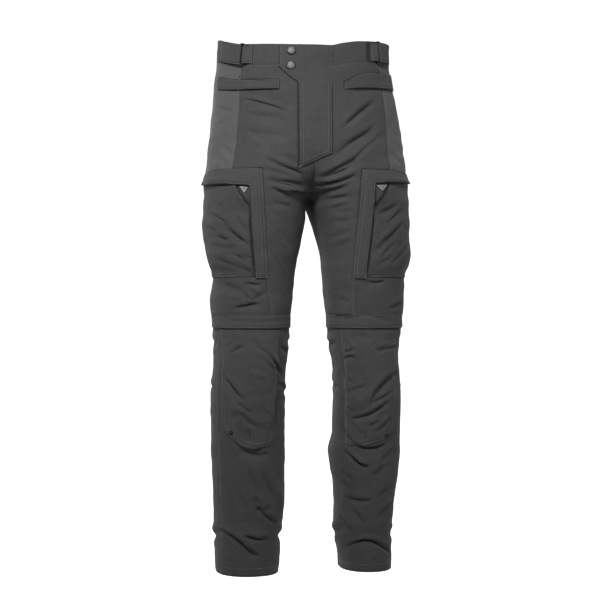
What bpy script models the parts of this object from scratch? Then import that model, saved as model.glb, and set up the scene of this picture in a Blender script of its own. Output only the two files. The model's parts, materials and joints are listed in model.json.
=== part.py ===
"""Motorcycle trousers, filled out as if worn, with nobody in them. Metres, +Z up, front towards -Y.

The origin is at the middle of the waist, where the wearer holds the trousers up. Right and left
are the wearer's: the right leg is at -X. Every cloth piece is a wall cut from one form, which is
worked out from a table of sections, so neighbours meet along their seams with a small gap.
"""

import math

import bmesh
import bpy
import numpy as np
from mathutils import Vector

for old_object in list(bpy.data.objects):
    bpy.data.objects.remove(old_object, do_unlink=True)

# Driving sizes
WALL = 0.0016  # shell cloth with its mesh backing
TRIM = 0.0012  # single cloth of flaps, welts, pockets and straps
SEAM = 0.0004  # gap between two pieces at a seam
LIES = 0.0006  # gap under a piece that lies on a panel
WAIST_TOP = 0.022
WAIST_SEAM = -0.021
FLAP_SEAM = -0.238  # where the pocket flap is sewn into the outer thigh
BAND_TOP = -0.513  # the knee band, where the lower leg zips on
BAND_FOOT = -0.537
HEM = -1.016

# One row for each section, from the waist to the hem: its height, the outermost and innermost
# reach of each leg from the middle, and the front and back. A negative inner reach is a section
# that runs on past the middle, where the two legs are joined along the rise.
SECTION_COLUMNS = ("height", "right_outer", "right_inner", "left_outer", "left_inner", "front", "back")
SECTIONS = [
    (0.050, 0.173, -0.173, 0.163, -0.163, -0.116, 0.108),
    (0.020, 0.174, -0.174, 0.163, -0.163, -0.117, 0.110),
    (-0.021, 0.176, -0.176, 0.164, -0.164, -0.120, 0.114),
    (-0.068, 0.181, -0.181, 0.170, -0.170, -0.124, 0.122),
    (-0.108, 0.184, -0.184, 0.180, -0.180, -0.128, 0.132),
    (-0.147, 0.188, -0.186, 0.187, -0.183, -0.130, 0.142),
    (-0.187, 0.192, -0.152, 0.193, -0.150, -0.131, 0.148),
    (-0.227, 0.196, -0.088, 0.198, -0.088, -0.131, 0.149),
    (-0.262, 0.198, -0.032, 0.199, -0.032, -0.129, 0.144),
    (-0.290, 0.198, 0.0010, 0.199, 0.0010, -0.127, 0.137),
    (-0.305, 0.197, 0.0024, 0.196, 0.0040, -0.125, 0.131),
    (-0.330, 0.194, 0.005, 0.193, 0.014, -0.122, 0.124),
    (-0.365, 0.191, 0.012, 0.191, 0.024, -0.119, 0.115),
    (-0.405, 0.186, 0.020, 0.193, 0.032, -0.115, 0.106),
    (-0.440, 0.183, 0.026, 0.193, 0.034, -0.112, 0.099),
    (-0.484, 0.190, 0.030, 0.191, 0.038, -0.109, 0.093),
    (-0.537, 0.184, 0.036, 0.186, 0.044, -0.107, 0.087),
    (-0.583, 0.183, 0.039, 0.179, 0.048, -0.107, 0.080),
    (-0.623, 0.185, 0.043, 0.180, 0.054, -0.105, 0.076),
    (-0.682, 0.189, 0.045, 0.185, 0.054, -0.099, 0.073),
    (-0.741, 0.188, 0.044, 0.185, 0.053, -0.090, 0.075),
    (-0.781, 0.187, 0.043, 0.186, 0.045, -0.084, 0.079),
    (-0.860, 0.182, 0.043, 0.178, 0.058, -0.073, 0.086),
    (-0.939, 0.180, 0.050, 0.171, 0.059, -0.064, 0.089),
    (-1.009, 0.177, 0.053, 0.172, 0.069, -0.059, 0.090),
    (-1.040, 0.171, 0.055, 0.168, 0.069, -0.058, 0.090),
]
FRONT_SQUARENESS = 2.2  # power of the rounded section: 2 is an ellipse
BACK_SQUARENESS = 2.6

# Places round a leg are columns: 0 is the middle of the front or the inseam, 1 the front seam of the
# thigh, 2 the back seam and 3 the middle of the back or the inseam again. The front seam is measured
# across from the middle and the back seam back from it. Columns 0.2 and 2.8 keep the same reach from
# the inner edge on the front and the back, so that only what lies past them turns under the crotch.
SEAM_COLUMNS = ("height", "inner_reach", "right_front_seam", "left_front_seam", "back_seam")
SEAM_LINES = [
    (0.050, 0.030, 0.098, 0.098, 0.040),
    (-0.020, 0.030, 0.098, 0.098, 0.044),
    (-0.108, 0.030, 0.098, 0.097, 0.056),
    (-0.180, 0.030, 0.100, 0.093, 0.063),
    (-0.230, 0.030, 0.103, 0.089, 0.068),
    (-0.300, 0.029, 0.099, 0.085, 0.069),
    (-0.350, 0.024, 0.096, 0.082, 0.066),
    (-0.440, 0.016, 0.090, 0.077, 0.056),
    (-0.530, 0.012, 0.081, 0.079, 0.050),
    (-0.680, 0.012, 0.081, 0.081, 0.036),
    (-0.800, 0.012, 0.082, 0.082, 0.038),
    (-1.040, 0.012, 0.086, 0.086, 0.052),
]
KNOT_COLUMNS = (0, 0.2, 1, 2, 2.8, 3)

# How far the top edge and the waist seam rise or fall round the waist, against the share of the
# way from the middle of the front to the middle of the back, negative on the right.
WAIST_COLUMNS = ("share", "rise")
WAIST_LINE = [
    (-1.00, 0.010),
    (-0.60, 0.005),
    (-0.47, 0.000),
    (-0.38, -0.010),
    (-0.30, -0.018),
    (-0.20, -0.020),
    (0.00, -0.022),
    (0.06, -0.022),
    (0.12, -0.016),
    (0.20, -0.010),
    (0.30, -0.007),
    (0.45, -0.004),
    (0.60, 0.003),
    (1.00, 0.010),
]
WAIST_RISE_ENDS = -0.130
HEM_RISE = {"right": 0.000, "left": 0.003}  # the left leg hangs a little shorter
HEM_RISE_STARTS = -0.780

# The largest folds, a row each, as seen from one side of the trousers: where the fold starts and
# ends, how far it sags from straight, its half width, and its depth. A negative depth is a ridge.
FOLD_COLUMNS = ("seen_from", "start", "start_z", "end", "end_z", "sag", "width", "depth")
FOLDS = [
    ("front", -0.138, -0.098, -0.046, -0.124, 0.005, 0.010, 0.0040),
    ("front", -0.092, -0.212, -0.012, -0.250, 0.006, 0.011, 0.0060),
    ("front", -0.088, -0.250, -0.008, -0.268, 0.004, 0.010, 0.0070),
    ("front", 0.012, -0.256, 0.088, -0.208, -0.004, 0.010, 0.0070),
    ("front", 0.010, -0.272, 0.092, -0.244, -0.004, 0.010, 0.0060),
    ("front", 0.062, -0.142, 0.122, -0.100, 0.003, 0.012, 0.0030),
    ("front", 0.040, -0.192, 0.118, -0.158, -0.003, 0.012, 0.0030),
    ("front", -0.156, -0.500, -0.092, -0.490, 0.003, 0.010, 0.0060),
    ("front", 0.096, -0.448, 0.150, -0.440, -0.002, 0.012, 0.0050),
    ("front", -0.172, -0.628, -0.132, -0.690, -0.004, 0.010, 0.0050),
    ("front", -0.170, -0.672, -0.144, -0.738, -0.004, 0.010, 0.0050),
    ("front", 0.116, -0.684, 0.166, -0.620, 0.004, 0.011, 0.0060),
    ("front", 0.074, -0.712, 0.146, -0.680, 0.004, 0.012, 0.0050),
    ("front", -0.142, -0.768, -0.080, -0.776, -0.006, 0.012, 0.0080),
    ("front", 0.070, -0.764, 0.140, -0.766, -0.006, 0.012, 0.0080),
    ("front", -0.176, -0.938, -0.082, -0.998, 0.000, 0.014, 0.0070),
    ("front", 0.068, -0.966, 0.164, -0.976, 0.022, 0.014, 0.0070),
    ("front", 0.066, -0.776, 0.122, -0.806, -0.002, 0.013, 0.0060),
    ("back", -0.150, -0.262, -0.046, -0.286, -0.006, 0.014, 0.0045),
    ("back", 0.150, -0.264, 0.050, -0.288, -0.006, 0.014, 0.0045),
    ("back", -0.160, -0.560, -0.060, -0.570, -0.006, 0.012, 0.0070),
    ("back", 0.160, -0.566, 0.062, -0.560, -0.006, 0.012, 0.0070),
    ("back", -0.165, -0.640, -0.060, -0.625, -0.008, 0.012, 0.0070),
    ("back", 0.166, -0.632, 0.064, -0.646, -0.008, 0.012, 0.0070),
    ("back", -0.150, -0.920, -0.066, -0.950, 0.006, 0.014, 0.0060),
    ("back", 0.150, -0.930, 0.074, -0.950, 0.008, 0.014, 0.0060),
]
SEEN_FROM = {  # the direction that start and end are measured along, and the way the cloth faces
    "front": ((1, 0, 0), (0, -1, 0)),
    "back": ((1, 0, 0), (0, 1, 0)),
    "right": ((0, 1, 0), (-1, 0, 0)),
    "left": ((0, 1, 0), (1, 0, 0)),
}

SIDES = {"right": -1, "left": 1}


def named(columns, rows):
    """A table's rows as one array for each named column."""
    return {name: np.array([row[i] for row in rows]) for i, name in enumerate(columns)}


def smooth(at, knots, values):
    """A curve through a table's values that stays between neighbours, for knots in rising order."""
    slopes = np.diff(values) / np.diff(knots)
    bends = np.zeros(len(knots))
    together = slopes[1:] * slopes[:-1] > 0
    bends[1:-1][together] = 2 / (1 / slopes[1:][together] + 1 / slopes[:-1][together])
    at = np.clip(at, knots[0], knots[-1])
    i = np.clip(np.searchsorted(knots, at) - 1, 0, len(knots) - 2)
    gap = knots[i + 1] - knots[i]
    t = (at - knots[i]) / gap
    ease = t * t * (3 - 2 * t)
    return (
        values[i] * (1 - ease)
        + values[i + 1] * ease
        + gap * t * (1 - t) * (bends[i] * (1 - t) - bends[i + 1] * t)
    )


def ramp(at, start, end):
    """0 before start, 1 after end, and eased between."""
    t = np.clip((at - start) / (end - start), 0, 1)
    return t * t * (3 - 2 * t)


# The form: for each side, x and y on a fine net of heights and shares of the way round
FORM_HEIGHTS = np.arange(-1.040, 0.0501, 0.001)
FORM_SHARES = np.linspace(0, 1, 241)
section_table = named(SECTION_COLUMNS, SECTIONS[::-1])
seam_table = named(SEAM_COLUMNS, SEAM_LINES[::-1])
waist_table = named(WAIST_COLUMNS, WAIST_LINE)


def section_outline(side_name, height):
    """Points of one leg's section from the centre front round the side to the centre back."""
    size = {
        name: float(smooth(height, section_table["height"], section_table[name]))
        for name in ("front", "back", side_name + "_outer", side_name + "_inner")
    }
    outer, inner = size[side_name + "_outer"], size[side_name + "_inner"]
    middle_x, half_x = (outer + inner) / 2, (outer - inner) / 2
    middle_y, half_y = (size["front"] + size["back"]) / 2, (size["back"] - size["front"]) / 2
    turn = np.linspace(-math.pi, math.pi, 721)
    power = np.where(turn < 0, 2 / FRONT_SQUARENESS, 2 / BACK_SQUARENESS)
    x = middle_x + half_x * np.sign(np.cos(turn)) * np.abs(np.cos(turn)) ** power
    y = middle_y + half_y * np.sign(np.sin(turn)) * np.abs(np.sin(turn)) ** power
    kept = x >= 0
    first, last = np.argmax(kept), len(kept) - 1 - np.argmax(kept[::-1])
    return x[first : last + 1], y[first : last + 1]


def make_form(side_name):
    """The net of x and y for one side, evenly spaced round each section."""
    net = np.zeros((len(FORM_HEIGHTS), len(FORM_SHARES), 2))
    for i, height in enumerate(FORM_HEIGHTS):
        x, y = section_outline(side_name, height)
        along = np.concatenate([[0], np.cumsum(np.hypot(np.diff(x), np.diff(y)))])
        net[i, :, 0] = np.interp(FORM_SHARES, along / along[-1], x)
        net[i, :, 1] = np.interp(FORM_SHARES, along / along[-1], y)
    return net


FORM = {name: make_form(name) for name in SIDES}


def knot_shares(side_name):
    """The share of the way round that each knot column has, a row for each height of the form."""
    rows = []
    for i, height in enumerate(FORM_HEIGHTS):
        x, y = FORM[side_name][i].T
        inner = float(smooth(height, section_table["height"], section_table[side_name + "_inner"]))
        reach, front_seam, back_seam = (
            float(smooth(height, seam_table["height"], seam_table[name]))
            for name in ("inner_reach", side_name + "_front_seam", "back_seam")
        )
        near = max(inner, 0) + reach
        out, back = int(np.argmax(x)), int(np.argmax(y))
        front = np.interp([near, front_seam], x[: out + 1], FORM_SHARES[: out + 1])
        side_back = np.interp(back_seam, y[out : back + 1], FORM_SHARES[out : back + 1])
        near_back = np.interp(near, x[out:][::-1], FORM_SHARES[out:][::-1])
        rows.append([0, *front, side_back, near_back, 1])
    return np.array(rows)


KNOT_SHARES = {name: knot_shares(name) for name in SIDES}


def form_point(side_name, share, height):
    """Points on one side's form, read between the net's own points."""
    net = FORM[side_name]
    row = np.clip((height - FORM_HEIGHTS[0]) / 0.001, 0, len(FORM_HEIGHTS) - 1.001)
    column = np.clip(share, 0, 1) * (len(FORM_SHARES) - 1.001)
    i, j = row.astype(int), column.astype(int)
    u, v = (row - i)[..., None], (column - j)[..., None]
    low = net[i, j] * (1 - v) + net[i, j + 1] * v
    high = net[i + 1, j] * (1 - v) + net[i + 1, j + 1] * v
    flat = low * (1 - u) + high * u
    return np.stack([flat[..., 0] * SIDES[side_name], flat[..., 1], height], axis=-1)


def share_at(side_name, column, height):
    """The share of the way round that a column has at a height."""
    knots = [np.interp(height, FORM_HEIGHTS, k) for k in KNOT_SHARES[side_name].T]
    share = knots[0]
    for i in range(5):
        part_way = np.clip((column - KNOT_COLUMNS[i]) / (KNOT_COLUMNS[i + 1] - KNOT_COLUMNS[i]), 0, 1)
        share = share + (knots[i + 1] - knots[i]) * part_way
    return share


def true_height(side_name, column, level):
    """The height of a level, which rises and falls round the waist and round each hem."""
    share = share_at(side_name, column, level)
    rise = smooth(SIDES[side_name] * share, waist_table["share"], waist_table["rise"])
    waist = rise * ramp(level, WAIST_RISE_ENDS, WAIST_SEAM)
    return level + waist + HEM_RISE[side_name] * ramp(-level, -HEM_RISE_STARTS, -HEM)


def fold_push(points, normals):
    """How far the folds push each point along its normal."""
    push = np.zeros(points.shape[:-1])
    for seen_from, start, start_z, end, end_z, sag, width, depth in FOLDS:
        across, facing = (np.array(v, float) for v in SEEN_FROM[seen_from])
        run, drop = end - start, end_z - start_z
        length = math.hypot(run, drop)
        from_start, down = points @ across - start, points[..., 2] - start_z
        t = (from_start * run + down * drop) / length**2
        inside = np.clip(t, 0, 1)
        centre = sag * 4 * inside * (1 - inside)
        off = (down * run - from_start * drop) / length * math.copysign(1, run) - centre
        taper = (4 * inside * (1 - inside)) ** 0.7
        faces = ramp(normals @ facing, 0.05, 0.5)
        trough = np.exp(-((off / width) ** 2))
        shoulders = np.exp(-(((np.abs(off) - 2.1 * width) / width) ** 2))
        push -= depth * taper * faces * (trough - 0.35 * shoulders)
    return push


def cloth(side_name, column, level):
    """Points of the cloth's outer face, and the directions that point out of it."""
    step_share, step_height = 0.006, 0.003
    height = true_height(side_name, column, level)
    share = share_at(side_name, column, level)
    round_way = form_point(side_name, share + step_share, height) - form_point(
        side_name, share - step_share, height
    )
    up = form_point(side_name, share, height + step_height) - form_point(
        side_name, share, height - step_height
    )
    normals = np.cross(round_way, up) * SIDES[side_name]
    normals /= np.linalg.norm(normals, axis=-1, keepdims=True)
    points = form_point(side_name, share, height)
    return points + normals * fold_push(points, normals)[..., None], normals


# The net that the panels are cut from. Its rows are close together where the cloth folds most.
def spaced(start, end, count):
    return list(np.linspace(start, end, count, endpoint=False))


SPARE_PLACES, SPARE_LEVELS = 0.17, 0.032  # a little over one step of the net, past a piece's reach
LEVELS = np.array(
    [WAIST_TOP, 0.000]
    + spaced(WAIST_SEAM, FLAP_SEAM, 9)
    + spaced(FLAP_SEAM, -0.305, 5)
    + spaced(-0.305, BAND_TOP, 8)
    + [BAND_TOP]
    + spaced(BAND_FOOT, -0.780, 11)
    + spaced(-0.780, HEM, 9)
    + [HEM]
)
COLUMNS = np.array(
    spaced(0, 0.2, 2) + spaced(0.2, 1, 5) + spaced(1, 2, 8) + spaced(2, 2.8, 5) + [2.8, 2.9, 3]
)
NET = {}
for side in SIDES:
    net_columns, net_levels = np.meshgrid(COLUMNS, LEVELS)
    NET[side] = cloth(side, net_columns, net_levels)


def on_net(place, level, side_name=None):
    """The point and outward direction on the net's own triangles at a place and a level. A place is
    a column, negative on the right, and past 3 it goes on round the back to the right. A point in
    the middle lies between the two sides, unless a side is given."""
    place = place - 6 if place > 3 else place
    if side_name is None and min(abs(place), abs(abs(place) - 3)) < 1e-6:
        j = 0 if abs(place) < 1 else len(COLUMNS) - 1
        point, normal = (sum(read_column(NET[name][k], j, level) for name in SIDES) / 2 for k in (0, 1))
        return point, normal / np.linalg.norm(normal)
    points, normals = NET[side_name or ("right" if place < 0 else "left")]
    i = int(np.clip(np.searchsorted(-LEVELS, -level) - 1, 0, len(LEVELS) - 2))
    j = int(np.clip(np.searchsorted(COLUMNS, abs(place), side="right") - 1, 0, len(COLUMNS) - 2))
    u = (LEVELS[i] - level) / (LEVELS[i] - LEVELS[i + 1])
    v = (abs(place) - COLUMNS[j]) / (COLUMNS[j + 1] - COLUMNS[j])

    def on_triangle(grid):
        near, far = grid[i, j], grid[i + 1, j + 1]
        turn = grid[i + 1, j] if u > v else grid[i, j + 1]
        return near + (turn - near) * max(u, v) + (far - turn) * min(u, v)

    normal = on_triangle(normals)
    return on_triangle(points), normal / np.linalg.norm(normal)


def read_column(grid, j, level):
    """A grid's value at one column of the net and any level."""
    return np.array([np.interp(-level, -LEVELS, grid[:, j, axis]) for axis in range(3)])


def make_material(name, tone, roughness, metallic=0.0):
    material = bpy.data.materials.new(name)
    material.use_nodes = True
    shader = material.node_tree.nodes["Principled BSDF"]
    shader.inputs["Base Color"].default_value = (tone, tone, tone, 1)
    shader.inputs["Roughness"].default_value = roughness
    shader.inputs["Metallic"].default_value = metallic
    material.diffuse_color = (tone, tone, tone, 1)
    return material


SHELL = make_material("shell_cloth", 0.082, 0.85)
PANEL = make_material("abrasion_cloth", 0.130, 0.70)
POCKET = make_material("pocket_cloth", 0.070, 0.80)
WEBBING = make_material("strap_cloth", 0.075, 0.75)
GARAGE = make_material("light_cloth", 0.300, 0.60)
PLASTIC = make_material("black_plastic", 0.012, 0.35)
METAL = make_material("snap_metal", 0.420, 0.30, 1.0)
DARK_METAL = make_material("dark_metal", 0.050, 0.35, 1.0)


def finish_object(name, shape, material):
    """An object from a bmesh, with its faces pointing out and its round stretches smooth."""
    bmesh.ops.recalc_face_normals(shape, faces=shape.faces)
    if shape.calc_volume(signed=True) < 0:
        bmesh.ops.reverse_faces(shape, faces=shape.faces)
    mesh = bpy.data.meshes.new(name)
    shape.to_mesh(mesh)
    shape.free()
    mesh.shade_smooth()
    mesh.set_sharp_from_angle(angle=math.radians(40))
    mesh.materials.append(material)
    made = bpy.data.objects.new(name, mesh)
    bpy.context.scene.collection.objects.link(made)
    return made


def thick_sheet(name, outer, inner, material):
    """A closed wall between two grids of points: two skins and the rim that joins them."""
    shape = bmesh.new()
    rows, columns = outer.shape[:2]
    skins = [[[shape.verts.new(p) for p in row] for row in skin] for skin in (outer, inner)]
    for skin in skins:
        for i in range(rows - 1):
            for j in range(columns - 1):
                corners = [skin[i][j], skin[i + 1][j], skin[i + 1][j + 1], skin[i][j + 1]]
                shape.faces.new(corners[:3])
                shape.faces.new([corners[0], corners[2], corners[3]])
    rim = [(i, 0) for i in range(rows)] + [(rows - 1, j) for j in range(1, columns)]
    rim += [(i, columns - 1) for i in range(rows - 2, -1, -1)] + [(0, j) for j in range(columns - 2, 0, -1)]
    for (i, j), (k, m) in zip(rim, rim[1:] + rim[:1]):
        shape.faces.new([skins[0][i][j], skins[0][k][m], skins[1][k][m], skins[1][i][j]])
    return finish_object(name, shape, material)


def is_inside(spot, outline):
    """Whether a flat point lies inside an outline, whose corners go round one way."""
    turns = []
    for (x0, y0), (x1, y1) in zip(outline, outline[1:] + outline[:1]):
        turns.append((x1 - x0) * (spot.y - y0) - (y1 - y0) * (spot.x - x0))
    return min(turns) > 0 or max(turns) < 0


def cut_flat(outlines, scores):
    """The net laid out flat, as places and levels, and cut along the outlines of a piece."""
    flat = bmesh.new()
    corners = np.array([corner for outline in outlines for corner in outline])
    (first, foot), (last, top) = corners.min(axis=0), corners.max(axis=0)
    every_place = sorted({*(-COLUMNS), *COLUMNS, *(6 - COLUMNS)})
    places = [p for p in every_place if first - SPARE_PLACES < p < last + SPARE_PLACES]
    levels = [value for value in LEVELS if foot - SPARE_LEVELS < value < top + SPARE_LEVELS]
    grid = [[flat.verts.new((place, value, 0)) for place in places] for value in levels]
    for upper, lower in zip(grid, grid[1:]):
        for j in range(len(places) - 1):
            outward = (j, j + 1) if 0 <= places[j] < 3 - 1e-6 else (j + 1, j)
            near, far = outward
            flat.faces.new([upper[near], lower[near], lower[far]])
            flat.faces.new([upper[near], lower[far], upper[far]])
    lines = [pair for outline in outlines for pair in zip(outline, outline[1:] + outline[:1])]
    for (x0, y0), (x1, y1) in lines + list(scores):
        across = Vector((y1 - y0, x0 - x1, 0)).normalized()
        everything = flat.verts[:] + flat.edges[:] + flat.faces[:]
        bmesh.ops.bisect_plane(flat, geom=everything, dist=1e-5, plane_co=(x0, y0, 0), plane_no=across)
    spare = [f for f in flat.faces if not any(is_inside(f.calc_center_median(), o) for o in outlines)]
    bmesh.ops.delete(flat, geom=spare, context="FACES")
    return flat


def way_in(vertex):
    """From a vertex on a piece's edge, the way into the piece that moves both edges there by 1."""
    ways = []
    for edge in vertex.link_edges:
        if not edge.is_boundary:
            continue
        along = (edge.other_vert(vertex).co - vertex.co).normalized()
        inwards = edge.link_faces[0].calc_center_median() - vertex.co
        ways.append((inwards - along * inwards.dot(along)).normalized())
    if len(ways) != 2:
        return Vector()
    return (ways[0] + ways[1]) / max(0.3, 1 + ways[0].dot(ways[1]))


def cut_piece(name, outlines, material, under, thick, gap=0.0, scores=()):
    """A piece of cloth, cut to its outlines and laid on the net. under says how far its inner face
    stands off the net: a number, or a function of the place and the level."""
    flat = cut_flat(outlines, scores)
    places = [place for outline in outlines for place, at_level in outline]
    one_side = "left" if min(places) >= 0 and max(places) <= 3 else "right" if max(places) <= 0 else None
    normals, offsets = {}, {}
    for vertex in flat.verts:
        place, at_level = vertex.co.x, vertex.co.y
        point, normal = on_net(place, at_level, one_side)
        normals[vertex] = Vector(normal)
        offsets[vertex] = under(place, at_level) if callable(under) else under
        vertex.co = Vector(point)
    flat.verts.index_update()
    shift = {v: way_in(v) * gap if gap and v.is_boundary else Vector() for v in flat.verts}
    shape = bmesh.new()
    inner, outer = {}, {}
    for vertex in flat.verts:
        base = vertex.co + shift[vertex]
        inner[vertex] = shape.verts.new(base + normals[vertex] * offsets[vertex])
        outer[vertex] = shape.verts.new(base + normals[vertex] * (offsets[vertex] + thick))
    for face in flat.faces:
        shape.faces.new([outer[v] for v in face.verts])
        shape.faces.new([inner[v] for v in reversed(face.verts)])
    for edge in flat.edges:
        if edge.is_boundary:
            a, b = edge.verts
            shape.faces.new([outer[a], outer[b], inner[b], inner[a]])
    flat.free()
    return finish_object(name, shape, material)


def shell_piece(name, outlines, material, under=-WALL):
    return cut_piece(name, outlines, material, under, WALL, SEAM / 2)


def block(first, last, top, foot):
    """A four-sided outline. first and last are each one place, or a place at the top and the foot."""
    a = first if isinstance(first, tuple) else (first, first)
    b = last if isinstance(last, tuple) else (last, last)
    return [(a[0], top), (b[0], top), (b[1], foot), (a[1], foot)]


def on_side(sign, outline):
    """An outline moved to one side, with its corners still going round the same way."""
    return [(sign * place, at_level) for place, at_level in outline][:: -1 if sign < 0 else 1]


# Where the pieces of the shell meet, as columns
HIP_EDGE = (1.24, 1.26)  # the front of the side hip panel, at its top and its foot
STRIP_EDGE = 1.56  # the front of the strip down the outside of the lower leg
BAND_FLARE = 0.0022


def band_under(place, at_level):
    """The knee band stands off the leg at its foot."""
    return BAND_FLARE * (BAND_TOP - at_level) / (BAND_TOP - BAND_FOOT) - WALL


for side, sign in SIDES.items():
    pattern = {
        "waistband_front": (SHELL, block(0, HIP_EDGE[0], WAIST_TOP, WAIST_SEAM)),
        "front_panel": (SHELL, block(0, HIP_EDGE, WAIST_SEAM, FLAP_SEAM), block(0, 1, FLAP_SEAM, BAND_TOP)),
        "side_panel": (PANEL, block(HIP_EDGE, 2, WAIST_SEAM, FLAP_SEAM)),
        "thigh_side": (POCKET, block(1, 2, FLAP_SEAM, BAND_TOP)),
        "back_panel": (SHELL, block(2, 3, WAIST_SEAM, BAND_TOP)),
        "shin_front": (POCKET, block(0, STRIP_EDGE, BAND_FOOT, HEM)),
        "shin_side": (POCKET, block(STRIP_EDGE, 2, BAND_FOOT, HEM)),
        "calf_back": (POCKET, block(2, 3, BAND_FOOT, HEM)),
    }
    for name, (cloth_used, *outlines) in pattern.items():
        shell_piece(f"{name}_{side}", [on_side(sign, o) for o in outlines], cloth_used)
    band = on_side(sign, block(0, 3, BAND_TOP, BAND_FOOT))
    shell_piece(f"knee_band_{side}", [band], SHELL, band_under)

# The back of the waistband goes round from the left side to the right in one piece
shell_piece("waistband_back", [block(HIP_EDGE[0], 6 - HIP_EDGE[0], WAIST_TOP, WAIST_SEAM)], SHELL)

# The fly: one piece, with a tab at the waist, that laps over the right front
TAB_END, FLY_EDGE, FLY_SEAM = -0.62, -0.228, 0.21
FLY_TOP, TAB_FOOT, FLY_CORNER = WAIST_TOP - 0.0004, -0.022, -0.055
FLY_FOOT = {"edge": -0.235, "seam": -0.206}
FLY_OUTLINES = [
    block(TAB_END, FLY_SEAM, FLY_TOP, TAB_FOOT),
    block((TAB_END, FLY_EDGE), FLY_SEAM, TAB_FOOT, FLY_CORNER),
    [
        (FLY_EDGE, FLY_CORNER),
        (FLY_SEAM, FLY_CORNER),
        (FLY_SEAM, FLY_FOOT["seam"]),
        (FLY_EDGE, FLY_FOOT["edge"]),
    ],
]
cut_piece("fly_flap", FLY_OUTLINES, SHELL, LIES, TRIM)

# Hip pocket welts
RIGHT_WELT = block(0.64, 1.57, -0.050, -0.075)
LEFT_WELT = [(0.49, -0.058), (0.77, -0.046), (1.03, -0.040), (1.57, -0.038), (1.57, -0.071), (0.49, -0.075)]
cut_piece("hip_welt_right", [on_side(-1, RIGHT_WELT)], SHELL, LIES, TRIM)
cut_piece("hip_welt_left", [LEFT_WELT], SHELL, LIES, TRIM)

# Cargo pockets: a bellows bag, and over its mouth a flap that runs on as an upright placket
POCKET_FRONT, POCKET_BACK = 1.06, 1.90
POCKET_TOP, POCKET_FOOT = FLAP_SEAM - 0.008, -0.439
BAG_SWELLS = -0.263  # the level that the bag's fullness starts at
FLAP_FRONT, PLACKET_EDGE, FLAP_BACK = 1.0, 1.10, 1.94
FLAP_TOP = FLAP_SEAM + 0.002
FLAP_FOOT = {"right": -0.268, "left": -0.261}
FLAP_FOOT_BACK = {"right": -0.256, "left": -0.250}
PLACKET_FOOT = -0.442
FLAP_STANDS = 0.0030  # how far the flap's free edge stands off
FLAP_LIFTS = -0.254  # the level by which it does
OVER_POCKET = TRIM + LIES
BELLOWS = 0.0070
CLIMB = (FLAP_FRONT + 0.02, POCKET_FRONT - 0.015)  # the places between which the flap climbs
BAG_HEAD = POCKET_TOP + 0.0015  # the level by which the flap has climbed on to the bag
MOUTH = {"top": 1.27, "foot": -0.325}  # where the bag's slanting mouth starts and ends
GARAGES = {
    "right": [(1.180, -0.2700), (1.115, -0.2720), (1.142, -0.2820)],
    "left": [(1.205, -0.2640), (1.113, -0.2660), (1.160, -0.2760)],
}


def pocket_under(place, at_level):
    """The bag stands off the leg in its middle and meets it round its edges."""
    across = (abs(place) - PLACKET_EDGE) / (POCKET_BACK - PLACKET_EDGE)
    down = (BAG_SWELLS - at_level) / (BAG_SWELLS - POCKET_FOOT)
    full = ramp(down, 0.0, 0.35) * (1 - ramp(down, 0.72, 1.0)) * ramp(across, 0.04, 0.35)
    return LIES + BELLOWS * full * (1 - ramp(across, 0.70, 1.0))


def flap_under(place, at_level):
    """The flap climbs on to the head of the bag, and the placket on to its front edge."""
    on_bag = ramp(abs(place), *CLIMB)
    below_seam = ramp(-at_level, -FLAP_SEAM, -BAG_HEAD)
    past_placket = ramp(abs(place), PLACKET_EDGE, PLACKET_EDGE + 0.12)
    free = past_placket * ramp(-at_level, -POCKET_TOP, -FLAP_LIFTS)
    return LIES + OVER_POCKET * on_bag * below_seam + FLAP_STANDS * free


for side, sign in SIDES.items():
    bag = [(MOUTH["top"], POCKET_TOP), (POCKET_BACK, POCKET_TOP), (POCKET_BACK, POCKET_FOOT)]
    bag += [(POCKET_FRONT, POCKET_FOOT), (POCKET_FRONT, MOUTH["foot"])]
    cut_piece(f"cargo_pocket_{side}", [on_side(sign, bag)], POCKET, pocket_under, TRIM)
    foot, foot_back = FLAP_FOOT[side], FLAP_FOOT_BACK[side]
    flap = [(FLAP_FRONT, FLAP_TOP), (FLAP_BACK, FLAP_TOP), (FLAP_BACK, foot_back)]
    flap += [(PLACKET_EDGE, foot), (FLAP_FRONT, foot)]
    placket = block(FLAP_FRONT, PLACKET_EDGE, foot, PLACKET_FOOT)
    folds = [((sign * place, 0), (sign * place, 1)) for place in CLIMB]
    folds += [((0, at_level), (1, at_level)) for at_level in (FLAP_SEAM, BAG_HEAD)]
    outlines = [on_side(sign, flap), on_side(sign, placket)]
    cut_piece(f"cargo_flap_{side}", outlines, SHELL, flap_under, TRIM, scores=folds)
    cut_piece(f"zip_garage_{side}", [on_side(sign, GARAGES[side])], GARAGE, LIES, TRIM)

# Knee patches, with a rounded foot: where the inner and the outer edge lie, as columns
KNEE_EDGES = {"right": (0.73, 1.48), "left": (0.28, 1.42)}
KNEE_TOP, KNEE_FOOT = -0.541, -0.763
KNEE_STANDS = 0.0045  # over the pocket of the knee protector
KNEE_STEPS = 14
KNEE_CORNERS = {"right": (0.060, 2.1), "left": (0.050, 2.6)}  # how high they start, and their power


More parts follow.
